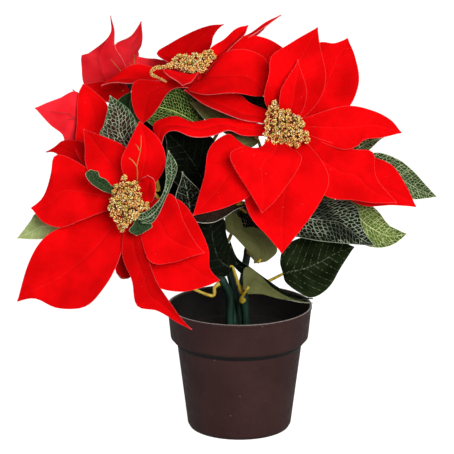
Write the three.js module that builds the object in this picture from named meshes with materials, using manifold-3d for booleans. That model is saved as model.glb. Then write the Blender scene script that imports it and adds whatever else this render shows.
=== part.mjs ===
// Artificial poinsettia in a 12 cm nursery pot. Millimetres, +Z up, pot standing on Z = 0.
import * as THREE from "three";
import { mergeVertices } from "three/addons/utils/BufferGeometryUtils.js";
import Module from "manifold-3d";

const wasm = await Module();
wasm.setup();

// ---- driving dimensions -------------------------------------------------
const rimRadius = 60;         // 12 cm nursery pot, measured at the lip
const rimHeight = 104;
const bandBottom = 77;        // lower edge of the wide band under the lip
const wallTop = 71;           // where the chamfer under the band meets the wall
const wallTopRadius = 51.6;
const baseRadius = 41;
const wallThick = 1.6;
const floorThick = 3;
const plugTop = 48;           // top of the weighted plug inside the pot
const stemFoot = 22;          // how deep the stems reach into the plug
const gap = 0.3;              // clearance between pieces that touch
const fabricThick = 0.9;      // velvet sheet with its backing
const hubRadius = 6.5;        // punched centre of a bract sheet
const hubThick = 2.4;
const layerStep = 3.1;        // from one sheet to the next
const petioleRadius = 1.3;
const potSides = 44;
const sheetRows = 7;          // cells along a petal or leaf
const sheetColumns = 2;       // and across it

const vec = (p) => new THREE.Vector3(p[0], p[1], p[2]);
const smooth = (t) => t * t * (3 - 2 * t);

// ---- finishes -----------------------------------------------------------
const finish = {
  pot: { color: 0x453029, roughness: 0.42, metalness: 0 },
  plug: { color: 0x1d1713, roughness: 0.95, metalness: 0 },
  stem: { color: 0x2c3f22, roughness: 0.55, metalness: 0 },
  bract: { color: 0xe00a12, roughness: 0.85, metalness: 0 },
  stamen: { color: 0xe0a850, roughness: 0.5, metalness: 0 },
  leaf: { color: 0x2f4228, roughness: 0.75, metalness: 0 },
};

const plant = new THREE.Group();
plant.name = "poinsettia";

function addMesh(name, geometry, look) {
  const mesh = new THREE.Mesh(geometry, new THREE.MeshStandardMaterial(finish[look]));
  mesh.name = name;
  plant.add(mesh);
  return mesh;
}

// ---- solids -------------------------------------------------------------
function toSolid(geometry) {
  const plain = geometry.index ? geometry.toNonIndexed() : geometry.clone();
  plain.deleteAttribute("normal");
  plain.deleteAttribute("uv");
  const merged = mergeVertices(plain, 1e-4);
  return new wasm.Manifold(new wasm.Mesh({
    numProp: 3,
    vertProperties: new Float32Array(merged.attributes.position.array),
    triVerts: new Uint32Array(merged.index.array),
  }));
}

function toGeometry(solid) {
  const mesh = solid.getMesh();
  const geometry = new THREE.BufferGeometry();
  const corners = new Float32Array(mesh.vertProperties);
  geometry.setAttribute("position", new THREE.BufferAttribute(corners, 3));
  geometry.setIndex(new THREE.BufferAttribute(new Uint32Array(mesh.triVerts), 1));
  geometry.computeVertexNormals();
  return geometry;
}

function joinSolids(geometries) {
  let whole = toSolid(geometries[0]);
  for (const geometry of geometries.slice(1)) {
    whole = whole.add(toSolid(geometry));
  }
  return largestBody(whole);
}

// Leaves out crumbs, and fills pockets closed in between pieces that run into each other.
function largestBody(solid) {
  const larger = (largest, other) => (other.volume() > largest.volume() ? other : largest);
  return solid.decompose().reduce(larger);
}

// A cylinder whose axis runs along `axis`, centred on `centre`.
function discAlong(centre, axis, radius, height, sides) {
  const disc = new THREE.CylinderGeometry(radius, radius, height, sides);
  const turn = new THREE.Quaternion().setFromUnitVectors(new THREE.Vector3(0, 1, 0), axis);
  disc.applyQuaternion(turn);
  disc.translate(centre.x, centre.y, centre.z);
  return disc;
}

// A round rod along a curve.
function rodAlong(curve, radius, sides, steps) {
  const outline = new THREE.Shape();
  for (let side = 0; side < sides; side += 1) {
    const angle = (2 * Math.PI * side) / sides;
    const x = radius * Math.cos(angle);
    const y = radius * Math.sin(angle);
    if (side === 0) {
      outline.moveTo(x, y);
    } else {
      outline.lineTo(x, y);
    }
  }
  outline.closePath();
  return new THREE.ExtrudeGeometry(outline, { steps, bevelEnabled: false, extrudePath: curve });
}

// ---- petals and leaves --------------------------------------------------
// Each is a thin curved sheet given by its root, its tip and its left and right edges. An edge is
// the point where the sheet is widest, or a few points from root to tip where it is less regular.
// belly: where along the midrib it is widest; cup: how far the edges rise; neck: half width at the
// root; bulge and point: how full the sheet stays past its belly, and how drawn-out its tip is.
const leastHalfWidth = 0.45;
const tipShare = 0.98;        // the edges meet past here, so the heading is taken from here
const glance = 0.02;          // how far either side of a spot its heading is taken
const softCurve = (points) => new THREE.CatmullRomCurve3(points, false, "catmullrom", 0.5);
const hasDrawnEdges = (piece) => Array.isArray(piece.left[0]);

function meanOf(edge) {
  const points = Array.isArray(edge[0]) ? edge : [edge];
  const total = points.reduce((sum, point) => sum.add(vec(point)), new THREE.Vector3());
  return total.multiplyScalar(1 / points.length);
}

// Frame of a sheet whose edges are drawn: its centre line, its heading and its width.
function drawnFrame(piece, rootSide, neck) {
  const edgeOf = (points, way) => softCurve([
    piece.root.clone().addScaledVector(rootSide, way * neck), ...points.map(vec), vec(piece.tip),
  ]);
  const leftEdge = edgeOf(piece.left, -1);
  const rightEdge = edgeOf(piece.right, 1);
  const centreAt = (along) => {
    const both = leftEdge.getPointAt(along).add(rightEdge.getPointAt(along));
    return both.multiplyScalar(0.5);
  };
  return (along) => {
    const beforeTip = Math.min(along, tipShare);
    const span = rightEdge.getPointAt(beforeTip).sub(leftEdge.getPointAt(beforeTip));
    const reach = rightEdge.getPointAt(along).distanceTo(leftEdge.getPointAt(along)) / 2;
    const ahead = centreAt(Math.min(along + glance, 1)).sub(centreAt(Math.max(along - glance, 0)));
    return {
      centre: centreAt(along),
      ahead: ahead.normalize(),
      side: span.normalize(),
      width: Math.max(reach, leastHalfWidth),
    };
  };
}

// Frame of a regular sheet, which widens to its belly and draws in to its tip.
function bellyFrame(piece, rootSide, wideSide, middle, neck, halfWidth) {
  const { root, belly = 0.55, bulge = 1.6, point = 1.4 } = piece;
  const tip = vec(piece.tip);
  const bend = middle.clone()
    .addScaledVector(root, -((1 - belly) ** 2))
    .addScaledVector(tip, -(belly ** 2))
    .multiplyScalar(1 / (2 * belly * (1 - belly)));
  const midrib = new THREE.QuadraticBezierCurve3(root, bend, tip);

  function widthAt(along) {
    if (along < belly) {
      const reach = Math.sin((Math.PI / 2) * (along / belly)) ** 0.75;
      return neck + (halfWidth - neck) * reach;
    }
    const past = (along - belly) / (1 - belly);
    return Math.max(halfWidth * (1 - past ** bulge) ** point, leastHalfWidth);
  }

  return (along) => {
    const ahead = midrib.getTangent(along).normalize();
    const side = rootSide.clone().lerp(wideSide, smooth(Math.min(along / belly, 1)));
    side.addScaledVector(ahead, -side.dot(ahead)).normalize();
    return { centre: midrib.getPoint(along), ahead, side, width: widthAt(along) };
  };
}

function sheetShape(piece) {
  const { root, facing, cup = 4 } = piece;
  const left = meanOf(piece.left);
  const right = meanOf(piece.right);
  const middle = left.clone().add(right).multiplyScalar(0.5);
  const meanHalf = left.distanceTo(right) / 2;
  const neck = piece.neck ?? Math.max(4, 0.3 * meanHalf);
  const wideSide = right.clone().sub(left).normalize();
  const start = middle.clone().sub(root).normalize();
  const rootSide = facing ? new THREE.Vector3().crossVectors(start, facing).normalize() : wideSide;
  const drawn = hasDrawnEdges(piece);
  const frameAt = drawn
    ? drawnFrame(piece, rootSide, neck)
    : bellyFrame(piece, rootSide, wideSide, middle, neck, meanHalf);
  let halfWidth = meanHalf;
  if (drawn) {
    const tenths = Array.from({ length: 10 }, (_, tenth) => frameAt(tenth / 10).width);
    halfWidth = Math.max(...tenths);
  }

  return function sheetPoint(along, across) {
    const { centre, ahead, side, width } = frameAt(along);
    const front = new THREE.Vector3().crossVectors(side, ahead).normalize();
    const share = (width / halfWidth) * Math.min(1, 3 * along);
    const ripple = Math.sin(2 * Math.PI * (1.6 * along + 0.3 * across)) * Math.abs(across);
    const rise = (cup * (across * across - (drawn ? 1 : 0)) + ripple) * share;
    const stretch = 1 + (piece.widen ?? 0) / width;
    return {
      place: centre
        .addScaledVector(side, across * width * stretch)
        .addScaledVector(front, drawn ? rise : rise * stretch),
      front,
    };
  };
}

function sheetGeometry(piece) {
  const columns = sheetColumns;
  const sheetPoint = sheetShape(piece);
  const positions = [];
  const indices = [];
  const perFace = (sheetRows + 1) * (columns + 1);
  for (const face of [0.5, -0.5]) {
    for (let row = 0; row <= sheetRows; row += 1) {
      for (let column = 0; column <= columns; column += 1) {
        const { place, front } = sheetPoint(row / sheetRows, (2 * column) / columns - 1);
        place.addScaledVector(front, face * (piece.thick ?? fabricThick));
        positions.push(place.x, place.y, place.z);
      }
    }
  }
  const at = (face, row, column) => face * perFace + row * (columns + 1) + column;
  const quad = (a, b, c, d) => indices.push(a, b, c, a, c, d);
  for (let row = 0; row < sheetRows; row += 1) {
    for (let column = 0; column < columns; column += 1) {
      const next = row + 1;
      const beside = column + 1;
      quad(at(0, row, column), at(0, row, beside), at(0, next, beside), at(0, next, column));
      quad(at(1, row, column), at(1, next, column), at(1, next, beside), at(1, row, beside));
    }
    quad(at(0, row, 0), at(0, row + 1, 0), at(1, row + 1, 0), at(1, row, 0));
    const last = columns;
    quad(at(0, row, last), at(1, row, last), at(1, row + 1, last), at(0, row + 1, last));
  }
  for (let column = 0; column < columns; column += 1) {
    const end = sheetRows;
    quad(at(0, 0, column), at(1, 0, column), at(1, 0, column + 1), at(0, 0, column + 1));
    quad(at(0, end, column), at(0, end, column + 1), at(1, end, column + 1), at(1, end, column));
  }
  const geometry = new THREE.BufferGeometry();
  geometry.setAttribute("position", new THREE.BufferAttribute(new Float32Array(positions), 3));
  geometry.setIndex(indices);
  return geometry;
}

const layerCentre = (flower, layer) => vec(flower.hub)
  .addScaledVector(vec(flower.facing).normalize(), layer * layerStep);

// Petals start inside the rim of the disc that is threaded on the stem end.
function seatPetals(flower, layer, petals) {
  const facing = vec(flower.facing).normalize();
  const centre = layerCentre(flower, layer);
  return petals.map((petal) => {
    const outward = meanOf(petal.left).add(meanOf(petal.right)).multiplyScalar(0.5).sub(centre);
    outward.addScaledVector(facing, -outward.dot(facing)).normalize();
    const seat = centre.clone().addScaledVector(outward, hubRadius - 0.8);
    return { ...petal, facing, root: petal.root ? vec(petal.root) : seat };
  });
}

// One die-cut bract sheet: its disc and the petals on it.
function bractSheet(flower, layer, petals) {
  const facing = vec(flower.facing).normalize();
  const disc = discAlong(layerCentre(flower, layer), facing, hubRadius, hubThick, 10);
  const blades = seatPetals(flower, layer, petals).map((petal) => sheetGeometry(petal));
  return toGeometry(joinSolids([disc, ...blades]));
}

// A domed cluster of beaded stamens on a short peg, pressed against the petals round it.
function stamenCluster(flower, layers, petalsAround) {
  const { spread = 17, lobes = 13, lobeRadius = 6, tail } = flower.stamens;
  const facing = vec(flower.facing).normalize();
  const base = vec(flower.hub).addScaledVector(facing, (layers - 0.5) * layerStep + gap / 2);
  const toAxis = new THREE.Quaternion().setFromUnitVectors(new THREE.Vector3(0, 0, 1), facing);
  const pegHeight = 6;
  const pegRadius = 3.6;
  const domeHeight = lobeRadius;
  const seat = base.clone().addScaledVector(facing, pegHeight);
  const pegMiddle = base.clone().addScaledVector(facing, pegHeight / 2);
  const pieces = [discAlong(pegMiddle, facing, pegRadius, pegHeight, 8)];
  const dome = new THREE.SphereGeometry(1, 8, 3);
  dome.rotateX(Math.PI / 2);
  dome.scale(spread * 0.8, spread * 0.8, domeHeight);
  dome.applyQuaternion(toAxis);
  const domeCentre = seat.clone().addScaledVector(facing, domeHeight * 0.7);
  dome.translate(domeCentre.x, domeCentre.y, domeCentre.z);
  pieces.push(dome);
  const goldenTurn = Math.PI * (3 - Math.sqrt(5));
  for (let lobe = 0; lobe < lobes; lobe += 1) {
    const reach = (spread - lobeRadius * 0.5) * Math.sqrt((lobe + 0.4) / lobes);
    const height = domeHeight * (0.9 + 0.7 * (1 - (reach / spread) ** 2)) + (lobe % 3);
    const spot = new THREE.Vector3(
      reach * Math.cos(lobe * goldenTurn),
      reach * Math.sin(lobe * goldenTurn),
      height,
    ).applyQuaternion(toAxis).add(seat);
    const bead = new THREE.SphereGeometry(lobeRadius, 6, 3);
    bead.translate(spot.x, spot.y, spot.z);
    pieces.push(bead);
  }
  if (tail) {
    const hanging = new THREE.CatmullRomCurve3([domeCentre, ...tail.map(vec)]);
    pieces.push(rodAlong(hanging, 2.6, 6, 8));
  }
  let cluster = joinSolids(pieces);
  for (const petal of petalsAround) {
    const roomy = { ...petal, thick: fabricThick + 2 * gap, widen: gap };
    cluster = cluster.subtract(toSolid(sheetGeometry(roomy)));
  }
  return toGeometry(largestBody(cluster));
}

// ---- the five flower heads ----------------------------------------------
const flowers = {
  right: {
    hub: [36, -34, 259],
    facing: [0.05, -0.93, 0.36],
    stemRadius: 3,
    stemFoot: [6, -4],
    stemThrough: [[4, -4, 134], [20, -3, 200]],
    stamens: { spread: 20, lobes: 10, lobeRadius: 7.5 },
    sheets: {
      outer: [
        { tip: [87, 8, 325],
          left: [[45, -24, 281], [51, -10, 309], [63, -1, 323], [76, 3, 322]],
          right: [[58, -28, 263], [84, -22, 271], [95, -14, 291], [93, -3, 311]] },
        { tip: [141, -40, 197],
          left: [[76, -36, 249], [104, -35, 238], [122, -35, 230], [133, -38, 214]],
          right: [[72, -43, 216], [96, -46, 200], [122, -43, 199]] },
        { tip: [-63, -34, 245],
          left: [[18, -36, 254], [2, -39, 255], [-9, -41, 260], [-22, -43, 257], [-38, -42, 256],
                 [-51, -39, 259], [-59, -37, 256]],
          right: [[19, -33, 263], [1, -30, 266], [-20, -27, 267], [-38, -25, 263], [-51, -25, 268],
                  [-65, -29, 266], [-70, -30, 260]], cup: 0, neck: 5 },
        { tip: [-45, -8, 286],
          left: [[18, -36, 265], [-2, -39, 269], [-21, -32, 276], [-33, -21, 280]],
          right: [[22, -25, 273], [8, -16, 278], [0, -10, 282], [-22, -7, 285]], neck: 6 },
        { tip: [21, -46, 182], left: [42, -40, 212], right: [8, -38, 212] },
      ],
      middle: [
        { tip: [62, -10, 337],
          left: [[24, -35, 273], [19, -35, 286], [23, -34, 304], [25, -32, 318], [40, -23, 327]],
          right: [[49, -35, 267], [63, -36, 283], [68, -34, 301], [64, -21, 322]] },
        { tip: [128, -42, 258],
          left: [[55, -40, 271], [83, -43, 280], [104, -44, 277], [119, -43, 269]],
          right: [[54, -42, 255], [79, -52, 247], [92, -52, 249], [99, -53, 255], [114, -49, 256]] },
        { tip: [124, -58, 205],
          left: [[63, -45, 254], [89, -51, 247], [105, -54, 245], [108, -57, 225]],
          right: [[44, -47, 237], [62, -57, 215], [73, -61, 209], [89, -62, 208], [106, -60, 205]] },
        { tip: [33, -76, 168],
          left: [[51, -42, 252], [65, -57, 238], [70, -64, 223], [62, -69, 206], [50, -72, 189]],
          right: [[18, -45, 246], [4, -58, 231], [3, -65, 212], [9, -69, 195], [22, -73, 181]] },
        { tip: [-37, -72, 198],
          left: [[19, -62, 231], [8, -74, 215], [-9, -74, 206], [-24, -73, 201]],
          right: [[18, -45, 248], [6, -48, 249], [-1, -51, 254], [-10, -55, 260], [-24, -61, 250],
                    [-28, -66, 229], [-33, -69, 212]] },
      ],
      inner: [
        { tip: [17, -84, 203],
          left: [[40, -61, 250], [48, -73, 242], [30, -81, 215]],
          right: [[17, -60, 252], [0, -73, 253], [-8, -76, 245], [8, -81, 218]], neck: 10 },
        { tip: [46, -32, 315], left: [32, -42, 291], right: [53, -44, 289] },
      ],
    },
  },
  top: {
    hub: [-36, 5, 289],
    facing: [-0.05, -0.3, 0.95],
    stemRadius: 3,
    stemFoot: [2, 3.5],
    stemThrough: [[-9, 4, 134], [-19, 9, 190]],
    stamens: {
      spread: 16,
      lobes: 8,
      lobeRadius: 6.5,
      tail: [[-62, -8, 309], [-70, -14, 303], [-72, -20, 299], [-62, -26, 296]],
    },
    sheets: {
      outer: [
        { tip: [-13, 52, 329],
          left: [[-53, 21, 300], [-68, 31, 308], [-57, 36, 316], [-38, 43, 325], [-24, 48, 329]],
          right: [[-28, 38, 302], [-23, 44, 314], [-22, 46, 319], [-18, 49, 325]], cup: 0 },
        { tip: [-112, 5, 287],
          left: [[-57, -7, 292], [-71, -11, 293], [-86, -9, 293], [-99, -3, 292]],
          right: [[-54, 12, 299], [-66, 16, 299], [-82, 19, 301], [-93, 16, 299], [-101, 11, 295]],
          neck: 6 },
        { tip: [34, 45, 338],
          left: [[-27, 20, 304], [-9, 38, 318], [10, 42, 325], [23, 43, 333]],
          right: [[-20, 14, 301], [-3, 23, 315], [12, 31, 325], [23, 38, 332]] },
        { tip: [44, 20, 308],
          left: [[-20, 14, 308], [-6, 22, 319], [8, 30, 324], [25, 26, 321]],
          right: [[-12, -1, 299], [18, -9, 298], [37, 5, 296]] },
        { tip: [-77, -44, 266],
          left: [[-47, -13, 289], [-57, -34, 289], [-65, -46, 279], [-71, -45, 271]],
          right: [[-56, -13, 294], [-72, -26, 298], [-84, -34, 297], [-86, -38, 285], [-83, -41, 273]] },
      ],
      middle: [
        { tip: [23, -18, 283],
          left: [[-14, -3, 313], [4, -4, 318], [20, -9, 313], [25, -13, 300]],
          right: [[-42, -11, 287], [-26, -31, 287], [-4, -33, 288], [12, -24, 284]] },
      ],
      inner: [
        { tip: [-45, -42, 296],
          left: [[-33, -19, 302], [-39, -32, 298]],
          right: [[-47, -14, 302], [-61, -25, 304], [-51, -35, 300]], cup: 2, neck: 4 },
        { tip: [7, 30, 332],
          left: [[-30, 7, 308], [-22, 12, 318], [-13, 18, 324], [-3, 24, 330]],
          right: [[-18, 1, 309], [-5, 6, 320], [4, 19, 327]] },
      ],
    },
  },
  left: {
    hub: [-86, -60, 205],
    facing: [-0.2, -0.9, 0.36],
    stemRadius: 3,
    stemFoot: [-7.5, -5.5],
    stemThrough: [[-13, -8, 125], [-62, -27, 178]],
    stamens: { spread: 18, lobes: 9, lobeRadius: 7 },
    sheets: {
      outer: [
        { tip: [-126, -4, 290],
          left: [[-115, -43, 220], [-131, -28, 239], [-131, -18, 259], [-130, -8, 282]],
          right: [[-95, -45, 227], [-105, -27, 249], [-104, -17, 265], [-107, -13, 276],
                  [-116, -8, 284]] },
        { tip: [-156, -18, 237],
          left: [[-111, -51, 209], [-132, -39, 225], [-147, -25, 237]],
          right: [[-103, -45, 228], [-124, -28, 246], [-141, -23, 248], [-149, -21, 242]] },
        { tip: [-16, -80, 147],
          left: [[-71, -66, 209], [-49, -71, 211], [-35, -75, 195], [-25, -78, 173], [-24, -79, 157]],
          right: [[-79, -76, 173], [-69, -87, 147], [-48, -88, 140], [-28, -84, 143]] },
        { tip: [-94, -80, 149],
          left: [[-80, -65, 180], [-82, -72, 162], [-87, -74, 148]],
          right: [[-94, -61, 185], [-98, -66, 172], [-99, -71, 155]] },
      ],
      middle: [
        { tip: [-124, -42, 261],
          left: [[-112, -60, 220], [-122, -56, 235], [-123, -49, 249]],
          right: [[-87, -60, 224], [-87, -57, 243], [-93, -54, 251], [-109, -49, 257]] },
        { tip: [-166, -52, 199],
          left: [[-105, -65, 200], [-126, -69, 193], [-142, -67, 187], [-155, -61, 189],
                 [-162, -56, 195]],
          right: [[-107, -58, 223], [-131, -52, 238], [-146, -48, 241], [-150, -50, 227],
                  [-157, -51, 208]] },
        { tip: [-177, -70, 127],
          left: [[-90, -74, 182], [-97, -85, 161], [-106, -93, 146], [-122, -91, 129],
                 [-144, -83, 125], [-162, -76, 131]],
          right: [[-106, -55, 201], [-138, -58, 187], [-156, -64, 177], [-168, -69, 158]] },
        { tip: [-38, -88, 109],
          left: [[-79, -74, 191], [-74, -86, 174], [-66, -96, 152], [-57, -93, 136], [-47, -90, 120]],
          right: [[-91, -72, 190], [-93, -84, 169], [-85, -94, 151], [-81, -95, 131], [-65, -93, 126],
                  [-49, -90, 115]] },
        { tip: [-28, -88, 172],
          left: [[-71, -71, 208], [-53, -80, 217], [-44, -86, 197], [-35, -87, 180]],
          right: [[-79, -81, 184], [-70, -94, 166], [-53, -92, 165], [-39, -90, 169]] },
      ],
      inner: [
        { tip: [-79, -60, 271],
          left: [[-91, -69, 228], [-93, -72, 243], [-88, -68, 255], [-83, -64, 264]],
          right: [[-67, -72, 223], [-58, -78, 242], [-62, -71, 257], [-71, -65, 266]] },
      ],
      green: [
        { root: [-79.5, -85, 198], tip: [-56, -74, 251],
          left: [[-70, -90, 208], [-61, -95, 220], [-58, -91, 231], [-58, -83, 241]],
          right: [[-68, -90, 197], [-60, -96, 213], [-53, -94, 228], [-49, -84, 241]] },
        { tip: [-81, -89, 186],
          left: [[-69, -87, 195], [-74, -88, 189]],
          right: [[-83, -84, 196], [-87, -88, 190]], cup: 2 },
        { tip: [-117, -72, 235],
          left: [[-101, -72, 215], [-109, -78, 220], [-117, -78, 226], [-121, -75, 232]],
          right: [[-99, -72, 221], [-105, -76, 228], [-110, -75, 230], [-111, -74, 234]], cup: 2 },
      ],
      core: [
        { tip: [-72, -88, 234],
          left: [[-81, -79, 222], [-78, -84, 230]],
          right: [[-70, -83, 211], [-66, -88, 221], [-67, -88, 230]], neck: 3, cup: 2 },
      ],
    },
  },
  rear: {
    hub: [-94, 58, 278],
    facing: [-0.2, 0.6, 0.75],
    stemRadius: 2.6,
    stemFoot: [-4.5, 7.5],
    stemThrough: [[-9, 12, 130], [-58, 36, 210]],
    stamens: { spread: 13, lobes: 6, lobeRadius: 6 },
    sheets: {
      outer: [
        { tip: [-105, 30, 340],
          left: [[-90, 47, 288], [-97, 37, 304], [-102, 34, 315], [-102, 32, 328]],
          right: [[-113, 56, 275], [-128, 57, 277], [-130, 54, 294], [-130, 52, 304], [-124, 49, 306],
                    [-106, 38, 323]],
          neck: 14, cup: 3 },
        { tip: [-80, 25, 336],
          left: [[-85, 54, 287], [-84, 55, 302], [-81, 44, 314], [-80, 34, 326]],
          right: [[-100, 47, 290], [-102, 37, 309], [-101, 35, 315], [-89, 29, 324]], cup: 3 },
        { tip: [-44, 56, 290],
          left: [[-80, 58, 274], [-62, 57, 275], [-48, 56, 280]],
          right: [[-90, 56, 290], [-87, 56, 301], [-76, 56, 300], [-66, 56, 299], [-54, 56, 296]],
          cup: 0 },
        { tip: [-128, 35, 282],
          left: [[-88, 45, 270], [-97, 42, 266], [-109, 40, 266], [-119, 38, 273]],
          right: [[-101, 48, 282], [-112, 44, 283], [-121, 38, 283]] },
        { tip: [-68, 120, 274], left: [-84, 94, 272], right: [-58, 84, 284], belly: 0.5 },
        { tip: [-119, 120, 287], left: [-127, 100, 277], right: [-93, 105, 289], belly: 0.5 },
      ],
      middle: [
        { tip: [-60, 76, 292], left: [-75, 78, 286], right: [-73, 66, 293], belly: 0.5 },
        { tip: [-92, 102, 296], left: [-103, 82, 291], right: [-83, 80, 296], belly: 0.5 },
        { tip: [-127, 98, 292], left: [-121, 72, 292], right: [-105, 86, 288], belly: 0.5 },
      ],
    },
  },
  far: {
    hub: [-119, 10, 247],
    facing: [-0.75, 0.2, 0.6],
    stemRadius: 2.6,
    stemFoot: [-9.5, 1.5],
    stemThrough: [[-16, 2.5, 125], [-72, 5, 198]],
    stamens: { spread: 15, lobes: 7, lobeRadius: 5.5 },
    sheets: {
      outer: [
        { tip: [-165, -8, 271],
          left: [[-123, -1, 270], [-132, -4, 284], [-145, -6, 279], [-156, -7, 275]],
          right: [[-125, -2, 237], [-140, -10, 240], [-143, -12, 250], [-153, -11, 258]] },
        { tip: [-138, -5, 226], left: [-124, -8, 236], right: [-130, 4, 240], belly: 0.5 },
        { tip: [-136, 18, 281], left: [-122, 13, 271], right: [-128, 1, 267], belly: 0.5, cup: 2 },
        { tip: [-130, 100, 236], left: [-134, 60, 231], right: [-118, 64, 249], belly: 0.5 },
      ],
      middle: [
        { tip: [-136, 66, 264], left: [-135, 43, 254], right: [-125, 41, 266], belly: 0.5 },
        { tip: [-138, 50, 224], left: [-142, 26, 229], right: [-130, 38, 241], belly: 0.5 },
      ],
    },
  },
};

// ---- pot and plug -------------------------------------------------------
const lathe = (points, sides) => {
  const turned = new THREE.LatheGeometry(points.map(([r, z]) => new THREE.Vector2(r, z)), sides);
  turned.rotateX(Math.PI / 2);
  return turned;
};

const bandRadius = 57;
const innerAt = (z) => {
  const share = (z - floorThick) / (wallTop - floorThick);
  return baseRadius + 0.6 + share * (wallTopRadius - wallThick - baseRadius - 0.6);
};

const potProfile = [
  [0, 0], [baseRadius, 0], [baseRadius + 1.5, 0.8], [baseRadius + 2.2, 3],
  [wallTopRadius, wallTop], [bandRadius, bandBottom], [rimRadius - 0.6, rimHeight - 3],
  [rimRadius, rimHeight - 2], [rimRadius, rimHeight - 0.6], [rimRadius - 0.6, rimHeight],
  [rimRadius - 1.6, rimHeight], [rimRadius - 2.2, rimHeight - 1.2],
  [bandRadius - wallThick, bandBottom + 0.6], [wallTopRadius - wallThick, wallTop + 0.6],
  [innerAt(floorThick + 2), floorThick + 2], [innerAt(floorThick) - 2, floorThick], [0, floorThick],
];
addMesh("pot", toGeometry(toSolid(lathe(potProfile, potSides))), "pot");

// ---- stems --------------------------------------------------------------
const stemCurves = {};
for (const [name, flower] of Object.entries(flowers)) {
  const facing = vec(flower.facing).normalize();
  const hub = vec(flower.hub);
  const [footX, footY] = flower.stemFoot;
  const topGap = hubThick / 2 + gap;
  stemCurves[name] = new THREE.CatmullRomCurve3([
    new THREE.Vector3(footX, footY, stemFoot),
    new THREE.Vector3(footX, footY, plugTop + 4),
    new THREE.Vector3(footX, footY, 90),
    ...flower.stemThrough.map(vec),
    hub.clone().addScaledVector(facing, -26),
    hub.clone().addScaledVector(facing, -topGap),
  ], false, "catmullrom", 0.5);
  const rod = rodAlong(stemCurves[name], flower.stemRadius, 8, 15);
  addMesh(`${name}_stem`, toGeometry(toSolid(rod)), "stem");
}

let plug = toSolid(lathe([
  [0, floorThick + gap], [innerAt(floorThick) - 2.4, floorThick + gap],
  [innerAt(floorThick + 3) - 0.4, floorThick + 3], [innerAt(plugTop - 2) - 0.4, plugTop - 2],
  [innerAt(plugTop - 2) - 3, plugTop], [0, plugTop],
], 40));
for (const flower of Object.values(flowers)) {
  const [footX, footY] = flower.stemFoot;
  const hole = new THREE.CylinderGeometry(flower.stemRadius + gap, flower.stemRadius + gap, 60, 12);
  hole.rotateX(Math.PI / 2);
  hole.translate(footX, footY, stemFoot - gap + 30);
  plug = plug.subtract(toSolid(hole));
}
addMesh("plug", toGeometry(plug), "plug");

for (const [name, flower] of Object.entries(flowers)) {
  const layers = Object.entries(flower.sheets);
  layers.forEach(([layerName, petals], layer) => {
    const look = layerName === "green" ? "leaf" : "bract";
    addMesh(`${name}_${layerName}_bracts`, bractSheet(flower, layer, petals), look);
  });
  const petalsAround = layers.flatMap(([, petals], layer) => seatPetals(flower, layer, petals));
  addMesh(`${name}_stamens`, stamenCluster(flower, layers.length, petalsAround), "stamen");
}

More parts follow.
